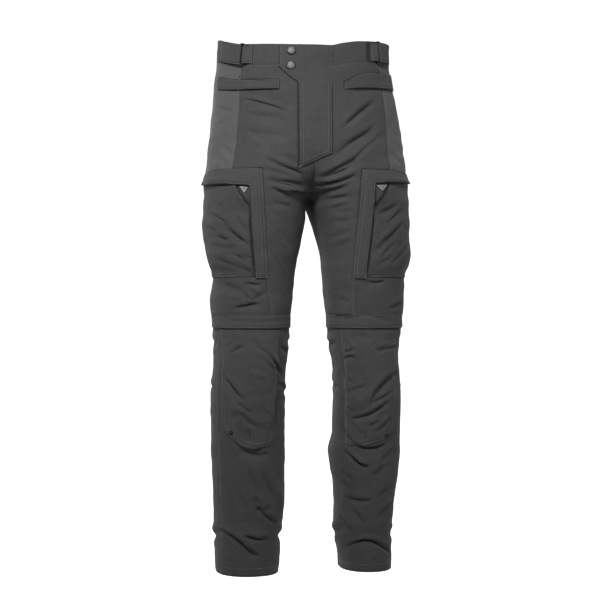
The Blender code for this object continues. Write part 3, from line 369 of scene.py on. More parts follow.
CREASES = in_metres(
    ("front", [
        (-135, -101, -57, -129, 5, 4, 3), (-97, -219, -19, -249, 2, 6, 4),
        (-93, -255, -17, -267, 0, 6, 3.5), (-51, -279, -10, -277, 0, 4, 3),
        (-88, -272, -43, -289, 0, 7, 2.2), (-130, -181, -87, -205, 0, 10, -1.4),
        (-154, -497, -100, -490, 3, 5, 4), (-140, -463, -123, -484, 0, 5, 2.5),
        (-97, -461, -119, -486, 0, 5, 2.2), (-154, -582, -134, -568, 0, 6, 3),
        (-171, -626, -139, -673, 0, 7, 3), (-169, -670, -147, -721, 0, 7, 2.5),
        (-152, -690, -112, -721, 0, 7, 2.5), (-143, -761, -98, -762, -4, 6, 4),
        (-95, -770, -85, -780, 0, 5, 2.5), (-56, -570, -45, -584, 0, 6, 2.5),
        (-64, -640, -48, -650, 0, 6, 2.5), (-183, -773, -119, -885, 0, 9, -1.6),
        (-108, -860, -89, -885, 0, 8, 3), (-174, -925, -96, -976, 3, 8, 4),
        (-124, -932, -78, -940, 0, 6, 2.5), (61, -151, 116, -103, 4, 8, 3), (33, -212, 119, -158, 5, 10, 3),
        (11, -249, 78, -212, 1, 6, 4), (3, -264, 78, -245, -1, 6, 4), (14, -275, 66, -268, 0, 6, 2.2),
        (115, -390, 150, -350, 0, 7, 2.5), (98, -448, 138, -447, 0, 5, 3), (64, -596, 88, -595, 6, 5, 2.5),
        (118, -581, 145, -569, 0, 6, 2.5), (109, -681, 163, -622, 7, 8, 4), (77, -711, 145, -680, 0, 6, 4),
        (65, -714, 82, -757, -5, 5, 3), (82, -757, 146, -760, -6, 5, 4), (63, -774, 108, -804, -2, 6, 4),
        (69, -865, 117, -871, 0, 7, 2.5), (82, -885, 103, -912, 0, 6, 2.5), (72, -967, 165, -981, 24, 6, 4),
        (-166, -339, -127, -377, 0, 7, 3.4), (-184, -359, -154, -372, 0, 7, 2.4),
        (-138, -397, -122, -405, 0, 5, 2.4), (-146, -409, -122, -434, 0, 6, 2.8),
        (-138, -452, -101, -452, 0, 5, 2.6), (-185, -450, -136, -470, 0, 12, 3.4),
        (-85, -381, -48, -439, 0, 4, -1.8), (-81, -403, -52, -480, 0, 4, -1.6),
        (-75, -355, -45, -388, 0, 6, -1.2), (-136, -127, -64, -141, 0, 9, 1.2),
        (-137, -162, -50, -179, 0, 10, 1.4), (-130, -201, -57, -217, 0, 9, -1.4),
        (29, -311, 67, -303, 0, 6, 1.4), (35, -334, 72, -333, 0, 7, 1.4), (42, -379, 72, -369, 0, 8, 1.4),
        (148, -498, 180, -483, 0, 6, 2.8), (43, -513, 75, -517, 0, 5, 1.8), (45, -476, 71, -491, 0, 7, 1.6),
        (120, -324, 158, -300, 0, 6, 2.2), (117, -419, 155, -392, 0, 7, 2.2),
        (-90, -580, -56, -623, 0, 5, 4.2), (-68, -659, -78, -739, 0, 7, 2.6),
        (-139, -769, -93, -780, 0, 7, 2.6), (-90, -816, -66, -881, 0, 10, 3.4),
        (-103, -878, -63, -909, 0, 6, 3), (-164, -794, -138, -866, 0, 10, 1.8),
        (-172, -560, -156, -586, 0, 6, 1.8), (-123, -555, -96, -571, 0, 8, 1.6),
        (-131, -619, -100, -631, 0, 9, -1.4), (-123, -713, -120, -753, 0, 3, 2),
        (105, -714, 106, -749, 0, 3, 2), (59, -623, 67, -665, 0, 6, 2.4), (100, -613, 103, -679, 0, 6, 2),
        (75, -552, 111, -560, 0, 9, 1.4), (53, -817, 71, -845, 0, 7, 2.2), (60, -894, 73, -928, 0, 9, 2.8),
        (118, -824, 154, -798, 0, 10, 1.8), (132, -911, 161, -874, 0, 9, 1.8),
        (65, -669, 76, -679, 0, 6, 1.6), (-172, -518, -123, -523, 0, 5, 1.2),
        (-108, -525, -55, -520, 0, 5, 1.2), (50, -522, 93, -518, 0, 5, 1.2),
        (104, -516, 162, -522, 0, 5, 1.2), (-190, -312, -150, -344, 0, 4.5, 2.6),
        (-194, -334, -157, -371, 0, 5.3, 2.2), (-182, -294, -164, -310, 0, 4.5, 1.6),
        (-146, -322, -126, -356, 0, 4.5, 2.4), (-150, -356, -124, -382, 0, 4.5, 2.2),
        (-187, -375, -146, -388, 0, 6.1, 2), (-156, -393, -124, -414, 0, 4.5, 2.6),
        (-179, -400, -131, -431, 0, 5.3, 2), (133, -339, 168, -307, 0, 5.3, 2.4),
        (121, -373, 163, -334, 0, 4.5, 2.6), (120, -411, 149, -369, 0, 4.5, 2.4),
        (142, -419, 178, -375, 0, 5.3, 1.8), (-173, -480, -130, -487, 0, 4.5, 1.4),
        (-141, -453, -100, -476, 0, 4.5, 1.8), (-107, -484, -89, -461, 0, 4.5, 1.8),
        (-166, -567, -136, -570, 0, 6.1, 1.2), (-112, -567, -89, -582, 0, 4.5, 2),
        (-100, -589, -74, -616, 0, 4.5, 2.4), (-127, -619, -100, -635, 0, 6.1, 1.6),
        (-169, -632, -141, -669, 0, 4.5, 2), (-171, -659, -147, -711, 0, 5.3, 2.2),
        (-148, -677, -118, -699, 0, 4.5, 2.2), (-140, -711, -98, -727, 0, 6.1, 1.6),
        (-99, -688, -74, -712, 0, 5.3, 1.4), (-162, -689, -144, -734, 0, 4.5, 1.6),
        (65, -622, 82, -644, 0, 4.5, 1.6), (65, -673, 76, -695, 0, 4.5, 2),
        (72, -660, 104, -644, 0, 6.1, 1.4), (112, -679, 158, -661, 0, 4.5, 2.2),
        (106, -721, 125, -714, 0, 4.5, 1.8), (122, -737, 155, -707, 0, 5.3, 1.8),
        (74, -715, 96, -737, 0, 5.3, 1.4), (123, -583, 165, -569, 0, 4.5, 1.6),
        (65, -583, 85, -575, 0, 4.5, 1.8), (65, -560, 74, -575, 0, 4.5, 1.6),
        (-114, -201, -46, -221, 0, 7.6, 1), (-128, -235, -53, -243, 0, 7.6, 1),
        (46, -162, 112, -108, 0, 6.1, 1.6), (65, -184, 124, -146, 0, 6.1, 1.4),
        (50, -238, 137, -161, 0, 5.3, 1.8), (28, -249, 88, -218, 0, 4.5, 1.8),
        (14, -252, 61, -230, 0, 4.5, 2), (-87, -225, -38, -242, 0, 4.5, 1.8),
        (-91, -259, -17, -277, 0, 4.5, 2.4), (-76, -281, 22, -273, 0, 4.5, 2.2),
        (-79, -303, -47, -309, 0, 6.1, 1.4), (17, -273, 69, -260, 0, 4.5, 2.4),
        (26, -292, 66, -286, 0, 6.1, 1.4), (43, -319, 78, -313, 0, 6.1, 1.2),
        (34, -363, 72, -354, 0, 7.6, 1), (-184, -108, -154, -125, 0, 6.1, 1.4),
        (-187, -148, -165, -143, 0, 7.6, 1), (-188, -193, -159, -234, 0, 6.1, 1.4),
        (-172, -181, -148, -215, 0, 6.1, 1.2), (148, -132, 161, -173, 0, 6.1, 1),
        (150, -191, 180, -222, 0, 6.1, 1.2), (-140, -66, -86, -73, 0, 6.1, 1),
        (59, -89, 117, -81, 0, 6.1, 1), (-129, -792, -96, -867, 0, 9.1, 1.6),
        (-171, -810, -126, -885, 0, 10.6, 1.4), (-107, -882, -79, -879, 0, 6.1, 1.6),
        (-137, -936, -82, -934, 0, 6.1, 1.4), (63, -814, 80, -832, 0, 6.1, 1.6),
        (79, -785, 109, -804, 0, 5.3, 2.4), (125, -804, 168, -768, 0, 7.6, 1.4),
        (57, -837, 64, -875, 0, 6.1, 1.6), (64, -899, 79, -931, 0, 7.6, 1.6),
        (126, -871, 161, -834, 0, 9.1, 1.2),
    ]),
    ("back", [
        (-140, -245, -60, -272, -4, 7, 3), (146, -250, 70, -268, -5, 6, 3.2),
        (-120, -300, -40, -318, -4, 6, 3.4), (126, -304, 38, -322, -3, 7, 2.8),
        (-152, -392, -80, -420, 4, 9, 2), (150, -402, 86, -436, 3, 8, 2.2),
        (-158, -556, -80, -566, -4, 5, 4), (-150, -596, -70, -588, -6, 6, 3.6),
        (156, -562, 74, -556, -4, 6, 3.8), (150, -604, 66, -596, -5, 5, 3.4),
        (-160, -640, -76, -622, -7, 6, 3.6), (160, -628, 70, -642, -6, 6, 3.6),
        (-150, -690, -90, -676, -5, 8, 2.4), (152, -682, 84, -694, -5, 8, 2.4),
        (-140, -918, -74, -944, 6, 7, 3.6), (146, -926, 80, -948, 8, 6, 3.4),
        (-150, -972, -90, -984, 4, 7, 2.6), (140, -978, 96, -968, 4, 6, 2.6),
    ]),
    ("left", [
        (-50, -560, 40, -552, -4, 9, 2.6), (-44, -660, 44, -640, -5, 8, 3), (-30, -940, 60, -960, 5, 10, 3),
    ]),
    ("right", [
        (-50, -566, 40, -556, -4, 9, 2.6), (-40, -652, 46, -634, -5, 8, 3), (-34, -930, 56, -955, 5, 10, 3),
    ]),
)
SEEN_FROM = {  # the direction that start and end are measured along, and the way the cloth faces
    "front": ((1, 0, 0), (0, -1, 0)),
    "back": ((1, 0, 0), (0, 1, 0)),
    "right": ((0, 1, 0), (-1, 0, 0)),
    "left": ((0, 1, 0), (1, 0, 0)),
}
print(len(FOLDS), "folds and", len(CREASES), "creases")

# %% [markdown]
# Between the creases the cloth is never quite flat either. A smooth value noise with a fixed seed
# gives it shallow dents, and bends the creases a little so that none runs dead straight.

# %% Lay the cloth on the form


def soft_noise(points, size, seed):
    """Smooth bumps of about the given sizes along x, y and z, from -1 to 1."""
    at = points / np.array(size)
    cell = np.floor(at)
    part = at - cell
    part = part * part * (3 - 2 * part)
    total = 0
    for corner in np.ndindex(2, 2, 2):
        mixed = (cell + corner) @ np.array([127.1, 311.7, 74.7]) + seed * 19.19
        value = np.modf(np.abs(np.sin(mixed) * 43758.5453))[0] * 2 - 1
        weight = np.prod([part[..., k] if c else 1 - part[..., k] for k, c in enumerate(corner)], axis=0)
        total = total + value * weight
    return total


def fold_push(points, normals, rows, lean=0.0):
    """How far the folds push each point along its normal, and how far the cloth above each slips
    down over it. With some lean a crease is steep on its upper side, where the cloth sags over it,
    and runs out gently below."""
    shape = points.shape[:-1]
    points, normals = points.reshape(-1, 3), normals.reshape(-1, 3)
    push, slip = np.zeros(len(points)), np.zeros(len(points))
    for seen_from, start, start_z, end, end_z, sag, width, depth in rows:
        across, facing = (np.array(v, float) for v in SEEN_FROM[seen_from])
        run, drop = end - start, end_z - start_z
        length = math.hypot(run, drop)
        from_start, down = points @ across - start, points[:, 2] - start_z
        t = (from_start * run + down * drop) / length**2
        off = (down * run - from_start * drop) / length * math.copysign(1, run)
        inside = np.clip(t, 0, 1)
        off -= sag * 4 * inside * (1 - inside)
        near = (t > 0) & (t < 1) & (np.abs(off) < 6 * width)
        off, inside = off[near], inside[near]
        swell = depth * (4 * inside * (1 - inside)) ** 0.7 * ramp(normals[near] @ facing, 0.05, 0.5)
        trough = np.exp(-((off / (width * np.where(off > 0, 1 - 0.5 * lean, 1 + 0.7 * lean))) ** 2))
        above = np.exp(-(((off - (2.1 - 0.5 * lean) * width) / width) ** 2))
        below = np.exp(-(((off + (2.1 + lean) * width) / width) ** 2))
        shoulders = (0.35 + 0.35 * lean) * above + (0.35 - 0.2 * lean) * below
        push[near] -= swell * (trough - shoulders)
        slip[near] -= lean * swell * np.exp(-(((off - 1.1 * width) / (1.3 * width)) ** 2))
    return push.reshape(shape), slip.reshape(shape)


FOLD_SHARE, CREASE_DEPTH, CREASE_WIDTH, CREASE_LEAN = 0.45, 1.25, 0.66, 0.7
LOWER_LEG, LOWER_LEG_DEPTH = -0.78, 1.5


def made_finer(row):
    """A crease as it is pushed: narrower than its row says, and deeper where the leg hangs free."""
    return (*row[:6], row[6] * CREASE_WIDTH, row[7] * (LOWER_LEG_DEPTH if row[2] < LOWER_LEG else 1))


def side_points(side_name, share, level):
    """Points of the cloth's outer face on one side, and the directions that point out of it."""
    height = true_height(side_name, share, level)
    round_way = form_point(side_name, share + 0.006, height) - form_point(side_name, share - 0.006, height)
    up = form_point(side_name, share, height + 0.003) - form_point(side_name, share, height - 0.003)
    normals = unit(np.cross(round_way, up) * SIDES[side_name])
    points = form_point(side_name, share, height)
    wander = np.stack([soft_noise(points, (0.05, 0.05, 0.05), k) for k in (1, 2, 3)], axis=-1) * 0.004
    push = FOLD_SHARE * fold_push(points, normals, FOLDS)[0]
    finer, slip = fold_push(points + wander, normals, [made_finer(row) for row in CREASES], CREASE_LEAN)
    push += CREASE_DEPTH * finer
    push += 0.0012 * soft_noise(points, (0.050, 0.050, 0.026), 4)
    push += 0.0007 * soft_noise(points, (0.024, 0.024, 0.013), 5)
    points = points + normals * push[..., None]
    points[..., 2] += slip
    return points, normals


JOINED_ABOVE = FORM_HEIGHTS[joined].min()


def cloth_points(side_name, share, level):
    """The same, with the two sides sharing their points on the middle seams of front and back."""
    share, level = np.broadcast_arrays(np.asarray(share, float), np.asarray(level, float))
    points, normals = side_points(side_name, share, level)
    seam = (np.abs(share - 0.5) > 0.5 - 1e-6) & (level >= JOINED_ABOVE)
    if seam.any():
        across, facing = side_points("left" if side_name == "right" else "right", share[seam], level[seam])
        points[seam] = (points[seam] + across) / 2
        normals[seam] = unit(facing + normals[seam])
    return points, normals


def girth_at(side_name, level):
    return np.interp(level, FORM_HEIGHTS, GIRTH[side_name])


def seam_round(side_name, level):
    """How far round the front seam is. A panel's flat distances are measured from there, so that the
    rise curves out at the crotch, as it does on the real cut."""
    return share_at(side_name, 1.0, level) * girth_at(side_name, level)


def lay(u, level, kind):
    """Points and outward directions at flat distances round. kind says where they start: "right" or
    "left" at that leg's front seam, "front" at the middle of the front, negative on the right, and "back" the
    same but going on past the left side's whole girth."""
    points, normals = np.zeros((len(u), 3)), np.zeros((len(u), 3))
    length = {name: girth_at(name, level) for name in SIDES}
    if kind in SIDES:
        share = (seam_round(kind, level) + u * SIDES[kind]) / length[kind]
        return cloth_points(kind, share, level)
    over = u > length["left"] if kind == "back" else np.zeros(len(u), bool)
    right = over | (u < 0)
    share = np.where(over, 1 - (u - length["left"]) / length["right"], -u / length["right"])
    for name, chosen, shares in (("right", right, share), ("left", ~right, u / length["left"])):
        if chosen.any():
            points[chosen], normals[chosen] = cloth_points(name, shares[chosen], level[chosen])
    return points, normals


def distance_round(place, level, kind):
    """How far round each place is, in metres, from where its kind of piece starts."""
    if kind in SIDES:
        share = share_at(kind, np.abs(place), level)
        return SIDES[kind] * (share * girth_at(kind, level) - seam_round(kind, level))
    left = share_at("left", np.clip(place, 0, 3), level) * girth_at("left", level)
    on_right = np.where(place > 3, 6 - place, -np.minimum(place, 0))
    right = share_at("right", on_right, level) * girth_at("right", level)
    if kind == "back":
        return np.where(place > 3, girth_at("left", level) + girth_at("right", level) - right, left)
    return np.where(place < 0, -right, left)


print("girth of the left knee, m:", round(float(girth_at("left", -0.6)), 3))

# %% [markdown]
# ## Cutting the pieces
#
# As on a cutting table: the fine net is laid out flat, cut along a piece's outline, and the piece is
# then laid on the form. Two neighbours are cut from the same net, so they meet along their seam.
# Each piece is a closed wall, and each of its points keeps its distance to the nearest cut edge,
# which the cloth's material needs for seams, worn edges with a painted highlight, and rows of
# stitching with painted shade in their dents.

# %% Cut flat pieces and lay them on the form
LOWEST = -1.0205
ROW_STEPS = [
    (0.0265, 0.0035), (-0.085, 0.0023), (-0.305, 0.0034),
    (-0.540, 0.0023), (-0.810, 0.0036), (-0.910, 0.0026),
]
KNOT_STEPS = (7, 34, 66, 30, 5)
FINE_COLUMNS = np.unique(
    np.concatenate([np.linspace(a, b, n + 1) for a, b, n in zip(KNOT_COLUMNS, KNOT_COLUMNS[1:], KNOT_STEPS)])
)
ROW_ENDS = [level for level, step in ROW_STEPS[1:]] + [LOWEST]
FINE_LEVELS = np.concatenate(
    [np.arange(top, end, -step) for (top, step), end in zip(ROW_STEPS, ROW_ENDS)] + [[LOWEST]]
)
cut_sizes = {}


def block(first, last, top, foot):
    """A four-sided outline. first and last are each one place, or a place at the top and the foot."""
    a = first if isinstance(first, tuple) else (first, first)
    b = last if isinstance(last, tuple) else (last, last)
    return [(a[0], top), (b[0], top), (b[1], foot), (a[1], foot)]


def on_side(sign, outline):
    """An outline moved to one side, with its corners still going round the same way."""
    return [(sign * place, at_level) for place, at_level in outline][:: -1 if sign < 0 else 1]


def inside(points, outline):
    """Which of the flat points lie inside a convex outline."""
    turns = []
    for (x0, y0), (x1, y1) in zip(outline, outline[1:] + outline[:1]):
        turns.append((x1 - x0) * (points[:, 1] - y0) - (y1 - y0) * (points[:, 0] - x0))
    return (np.min(turns, axis=0) > 0) | (np.max(turns, axis=0) < 0)


def cut_flat(outlines, scores=()):
    """The fine net cut along the outlines: flat points as places and levels, and the faces."""
    corners = np.array([corner for outline in outlines for corner in outline])
    (first, foot), (last, top) = corners.min(axis=0), corners.max(axis=0)
    every_place = np.unique(np.round(np.concatenate([-FINE_COLUMNS, FINE_COLUMNS, 6 - FINE_COLUMNS]), 9))
    places = every_place[(every_place > first - 0.09) & (every_place < last + 0.09)]
    levels = FINE_LEVELS[(FINE_LEVELS > foot - 0.009) & (FINE_LEVELS < top + 0.009)]
    flat = bmesh.new()
    grid = [[flat.verts.new((place, level, 0)) for place in places] for level in levels]
    for upper, lower in zip(grid, grid[1:]):
        for j in range(len(places) - 1):
            flat.faces.new([lower[j], lower[j + 1], upper[j + 1], upper[j]])
    lines = [pair for outline in outlines for pair in zip(outline, outline[1:] + outline[:1])]
    for start, end in lines + list(scores):
        (x0, x1), (y0, y1) = sorted((start[0], end[0])), sorted((start[1], end[1]))
        near = []
        for face in flat.faces:
            xs, ys = [v.co.x for v in face.verts], [v.co.y for v in face.verts]
            if max(xs) > x0 - 0.01 and min(xs) < x1 + 0.01 and max(ys) > y0 - 0.001 and min(ys) < y1 + 0.001:
                near.append(face)
        geometry = near + list({e for f in near for e in f.edges}) + list({v for f in near for v in f.verts})
        across = Vector((end[1] - start[1], start[0] - end[0], 0)).normalized()
        bmesh.ops.bisect_plane(flat, geom=geometry, dist=1e-5, plane_co=(*start, 0), plane_no=across)
    centres = np.array([f.calc_center_median()[:2] for f in flat.faces])
    kept = np.any([inside(centres, outline) for outline in outlines], axis=0)
    spare = [face for face, keep in zip(flat.faces[:], kept) if not keep]
    bmesh.ops.delete(flat, geom=spare, context="FACES")
    flat.verts.index_update()
    points = np.array([v.co[:2] for v in flat.verts])
    faces = [[v.index for v in f.verts] for f in flat.faces]
    flat.free()
    return points, faces


def edge_loops(faces):
    """The loops of points round a cut piece, with the piece on their left."""
    arrows = {(a, b) for f in faces for a, b in zip(f, f[1:] + f[:1])}
    following = {a: b for a, b in arrows if (b, a) not in arrows}
    loops = []
    while following:
        first = at = next(iter(following))
        loop = []
        while at in following:
            loop.append(at)
            at = following.pop(at)
        loops.append(loop)
    return loops


def stretches(points, loops):
    """Where every stretch round the loops starts and ends."""
    starts = np.array([points[a] for loop in loops for a in loop])
    return starts, np.array([points[a] for loop in loops for a in loop[1:] + loop[:1]])


def leftwards(ring):
    """At each point of a loop, the sum of the directions in and out of it, turned to the left."""
    before, after = ring - np.roll(ring, 1, axis=0), np.roll(ring, -1, axis=0) - ring
    for way in (before, after):
        way /= np.maximum(np.linalg.norm(way, axis=1, keepdims=True), 1e-9)
    return np.stack([-(before + after)[:, 1], (before + after)[:, 0]], axis=1)


def keep_at_points(mesh, name, values):
    mesh.attributes.new(name, "FLOAT", "POINT").data.foreach_set("value", values.astype(np.float32))


def keep_flat(mesh, flat, edge):
    """Keeps each point's place on the flat cut as UV, in metres, and its distance to the cut edge."""
    corners = np.zeros(len(mesh.loops), int)
    mesh.loops.foreach_get("vertex_index", corners)
    mesh.uv_layers.new(name="cloth_uv").data.foreach_set("uv", flat[corners].astype(np.float32).ravel())
    keep_at_points(mesh, "edge", edge)


def distance_to(points, starts, ends):
    """How far each flat point is from the nearest of the stretches."""
    nearest = np.full(len(points), 1.0)
    for start, end in zip(starts, ends):
        along = end - start
        t = np.clip((points - start) @ along / max(along @ along, 1e-12), 0, 1)
        nearest = np.minimum(nearest, np.linalg.norm(points - start - t[:, None] * along, axis=1))
    return nearest


def make_wall(name, flat, places, faces, under, thick, kind, gap):
    """A closed wall from a cut piece, with its distances in metres in the UV map and at its points."""
    loops = edge_loops(faces)
    edge = distance_to(flat, *stretches(flat, loops))
    drawn = flat.copy()
    for loop in loops:
        inwards = leftwards(flat[loop])
        size = np.maximum(np.linalg.norm(inwards, axis=1, keepdims=True), 0.6)
        drawn[loop] += gap * 2 * inwards / size**2
    points, normals = lay(drawn[:, 0], drawn[:, 1], kind)
    if callable(under):
        stands = under(np.abs(places), drawn[:, 1], points)
    else:
        stands = np.full(len(flat), float(under))
    outer = points + normals * (stands + thick)[:, None]
    inner = points + normals * stands[:, None]
    count = len(flat)
    walls = [list(f) for f in faces] + [[count + i for i in reversed(f)] for f in faces]
    for loop in loops:
        for a, b in zip(loop, loop[1:] + loop[:1]):
            walls.append([b, a, count + a, count + b])
    mesh = bpy.data.meshes.new(name)
    mesh.from_pydata(np.concatenate([outer, inner]).tolist(), [], walls)
    mesh.shade_smooth()
    mesh.set_sharp_from_angle(angle=math.radians(45))
    keep_flat(mesh, np.tile(flat, (2, 1)), np.tile(edge, 2))
    made = add_object(name, mesh)
    return made, loops


def stand_for(made, node):
    """The piece takes a CAD node's place, on the one body that the trousers have."""
    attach(made, "root")
    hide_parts(node)


def flat_area(flat, faces):
    """The area of the flat faces of a cut piece."""
    total = 0.0
    for face in faces:
        x, y = flat[face].T
        total += abs(float(x @ np.roll(y, -1) - y @ np.roll(x, -1))) / 2
    return total


def cut_piece(
    node, outlines, slot, under, thick=TRIM, gap=0.0, bent=False, scores=()
):
    """One piece of cloth that stands for a CAD node, keeping the size of the sheet it was cut from. A bent
    strip's sheet is its length along the bend and its mean width."""
    spots, faces = cut_flat(outlines, scores)
    least, most = spots[:, 0].min(), spots[:, 0].max()
    kind = "back" if most > 3.01 else "right" if most < 0.01 else "left" if least > -0.01 else "front"
    flat = np.stack([distance_round(spots[:, 0], spots[:, 1], kind), spots[:, 1]], axis=1)
    made, loops = make_wall(node + "_cloth", flat, spots[:, 0], faces, under, thick, kind, gap)
    made["slot"] = slot
    stand_for(made, node)
    width, length = (float(v) for v in np.ptp(flat, axis=0))
    area = min(flat_area(flat, faces), width * length)
    if bent:
        width, length = area / (width + length), width + length
    cut_sizes[node] = (width, length, area)
    outer = np.array([v.co for v in made.data.vertices[: len(flat)]])
    return {"object": made, "flat": flat, "loops": loops, "kind": kind, "spots": spots, "outer": outer}


print("net of", len(FINE_COLUMNS), "by", len(FINE_LEVELS), "points a side")

# %% [markdown]
# ## The shell
#
# The shell is what the trousers are sewn from: front and back panels, side hip panels, the outer
# thigh under the pocket, the lower leg's three panels, the knee band and the waistband. They hang
# from the waist, filled out as on a wearer.

# %% Cut the shell
HIP_EDGE, STRIP_EDGE, FLAP_SEAM, BAND_FLARE = (1.24, 1.26), 1.56, -0.238, 0.0022
pieces = {}


def band_under(place, level, points):
    """The knee band stands off the leg at its foot."""
    return BAND_FLARE * np.clip((BAND_TOP - level) / (BAND_TOP - BAND_FOOT), 0, 1) - WALL


for side, sign in SIDES.items():
    pattern = {
        "waistband_front": ("shell_cloth", block(0, HIP_EDGE[0], WAIST_TOP, WAIST_SEAM)),
        "front_panel": (
            "shell_cloth", block(0, HIP_EDGE, WAIST_SEAM, FLAP_SEAM), block(0, 1, FLAP_SEAM, BAND_TOP)
        ),
        "side_panel": ("abrasion_cloth", block(HIP_EDGE, 2, WAIST_SEAM, FLAP_SEAM)),
        "thigh_side": ("pocket_cloth", block(1, 2, FLAP_SEAM, BAND_TOP)),
        "back_panel": ("shell_cloth", block(2, 3, WAIST_SEAM, BAND_TOP)),
        "knee_band": ("shell_cloth", block(0, 3, BAND_TOP, BAND_FOOT)),
        "shin_front": ("pocket_cloth", block(0, STRIP_EDGE, BAND_FOOT, HEM)),
        "shin_side": ("pocket_cloth", block(STRIP_EDGE, 2, BAND_FOOT, HEM)),
        "calf_back": ("pocket_cloth", block(2, 3, BAND_FOOT, HEM)),
    }
    for name, (slot, *outlines) in pattern.items():
        under = band_under if name == "knee_band" else -WALL
        placed_outlines = [on_side(sign, outline) for outline in outlines]
        node = f"{name}_{side}"
        pieces[node] = cut_piece(node, placed_outlines, slot, under, WALL, SEAM / 2)
back_outline = block(HIP_EDGE[0], 6 - HIP_EDGE[0], WAIST_TOP, WAIST_SEAM)
pieces["waistband_back"] = cut_piece(
    "waistband_back", [back_outline], "shell_cloth", -WALL, WALL, SEAM / 2
)
print(len(pieces), "pieces of the shell")
print("front panel cut, m:", [round(v, 3) for v in cut_sizes["front_panel_left"]])

# %% [markdown]
# ## What lies on the shell
#
# The fly laps left over right and ends in a tab at the waist. The welts, the bellows pockets with
# their flaps and plackets, and the knee patches are each made from the points of the panel below,
# moved out, so they follow its folds. The bags and the patches stand off in the middle, because one
# holds a gusset and the other the pocket of a knee protector.

# %% Cut the fly, the welts and the pockets
TAB_END, FLY_EDGE, FLY_SEAM = -0.62, -0.228, 0.21
FLY_TOP, TAB_FOOT, FLY_CORNER = WAIST_TOP - 0.0004, -0.022, -0.055
FLY_FOOT_EDGE, FLY_FOOT_SEAM = -0.235, -0.206
fly_outlines = [
    block(TAB_END, FLY_SEAM, FLY_TOP, TAB_FOOT),
    block((TAB_END, FLY_EDGE), FLY_SEAM, TAB_FOOT, FLY_CORNER),
    [(FLY_EDGE, FLY_CORNER), (FLY_SEAM, FLY_CORNER), (FLY_SEAM, FLY_FOOT_SEAM), (FLY_EDGE, FLY_FOOT_EDGE)],
]


def fly_under(place, level, points):
    """The fly stands off a little, more in some places than in others."""
    return LIES + 0.0010 * ramp(soft_noise(points, (0.03, 0.03, 0.02), 11), -0.2, 0.9)


pieces["fly_flap"] = cut_piece(
    "fly_flap", fly_outlines, "shell_cloth", fly_under,
)
RIGHT_WELT = block(0.64, 1.57, -0.050, -0.075)
LEFT_WELT = [(0.49, -0.058), (0.77, -0.046), (1.03, -0.040), (1.57, -0.038), (1.57, -0.071), (0.49, -0.075)]


def welt_under(place, level, points):
    """The mouth of the welt, at its foot, gapes a little in the middle."""
    return LIES + 0.0016 * ramp(-level, 0.050, 0.075) * ramp(place, 0.55, 0.80) * (1 - ramp(place, 1.25, 1.5))


for node, outline in (("hip_welt_right", on_side(-1, RIGHT_WELT)), ("hip_welt_left", LEFT_WELT)):
    pieces[node] = cut_piece(node, [outline], "shell_cloth", welt_under)

POCKET_FRONT, POCKET_BACK = 1.06, 1.90
POCKET_TOP, POCKET_FOOT, BAG_SWELLS = FLAP_SEAM - 0.008, -0.439, -0.263
FLAP_FRONT, PLACKET_EDGE, FLAP_BACK = 1.0, 1.10, 1.94
FLAP_TOP = FLAP_SEAM + 0.002
FLAP_FOOT, FLAP_FOOT_BACK = {"right": -0.268, "left": -0.261}, {"right": -0.256, "left": -0.250}
PLACKET_FOOT, FLAP_LIFTS = -0.442, -0.254
FLAP_STANDS, OVER_POCKET, BELLOWS = 0.0030, TRIM + LIES, 0.0070
CLIMB = (FLAP_FRONT + 0.02, POCKET_FRONT - 0.015)
BAG_HEAD = POCKET_TOP + 0.0015
MOUTH = ((1.27, POCKET_TOP), (POCKET_FRONT, -0.325))
GARAGES = {
    "right": [(1.180, -0.2700), (1.115, -0.2720), (1.142, -0.2820)],
    "left": [(1.205, -0.2640), (1.113, -0.2660), (1.160, -0.2760)],
}
PLACE_WIDTH = 0.25  # metres in one place on the outer thigh


def pocket_under(place, level, points):
    """The bag stands off the leg in its middle and meets it round its edges. It rises steeply beside
    the placket, where the opening is, and its slanting mouth gapes."""
    across = (place - PLACKET_EDGE) / (POCKET_BACK - PLACKET_EDGE)
    down = (BAG_SWELLS - level) / (BAG_SWELLS - POCKET_FOOT)
    full = ramp(down, 0.0, 0.35) * (1 - ramp(down, 0.72, 1.0)) * ramp(across, 0.04, 0.35)
    uneven = 1 + 0.30 * soft_noise(points, (0.06, 0.06, 0.05), 21)
    back = 1 - ramp(across, 0.70, 1.0)
    lip = ramp(place, PLACKET_EDGE + 0.006, PLACKET_EDGE + 0.026)
    lip = lip * ramp(down, 0.28, 0.42) * (1 - ramp(down, 0.86, 0.97))
    (x0, y0), (x1, y1) = ((at * PLACE_WIDTH, height) for at, height in MOUTH)
    off = ((x1 - x0) * (level - y0) - (y1 - y0) * (place * PLACE_WIDTH - x0)) / math.hypot(x1 - x0, y1 - y0)
    gape = np.exp(-((off / 0.010) ** 2)) * ramp(-level, 0.262, 0.275) * (1 - ramp(-level, 0.305, 0.325))
    return LIES + BELLOWS * full * back * uneven + 0.0034 * lip * back + 0.0040 * gape


def flap_under(place, level, points):
    """The flap climbs on to the head of the bag, and the placket on to its front edge."""
    on_bag = ramp(place, *CLIMB)
    below_seam = ramp(-level, -FLAP_SEAM, -BAG_HEAD)
    free = ramp(place, PLACKET_EDGE, PLACKET_EDGE + 0.12) * ramp(-level, -POCKET_TOP, -FLAP_LIFTS)
    ripple = 1 + 0.5 * soft_noise(points, (0.05, 0.05, 0.05), 22)
    edge = ramp(place, PLACKET_EDGE - 0.045, PLACKET_EDGE)
    edge = edge * ramp(-level, 0.275, 0.300) * (1 - ramp(-level, 0.415, 0.435))
    return LIES + OVER_POCKET * on_bag * below_seam + FLAP_STANDS * free * ripple + 0.0018 * edge


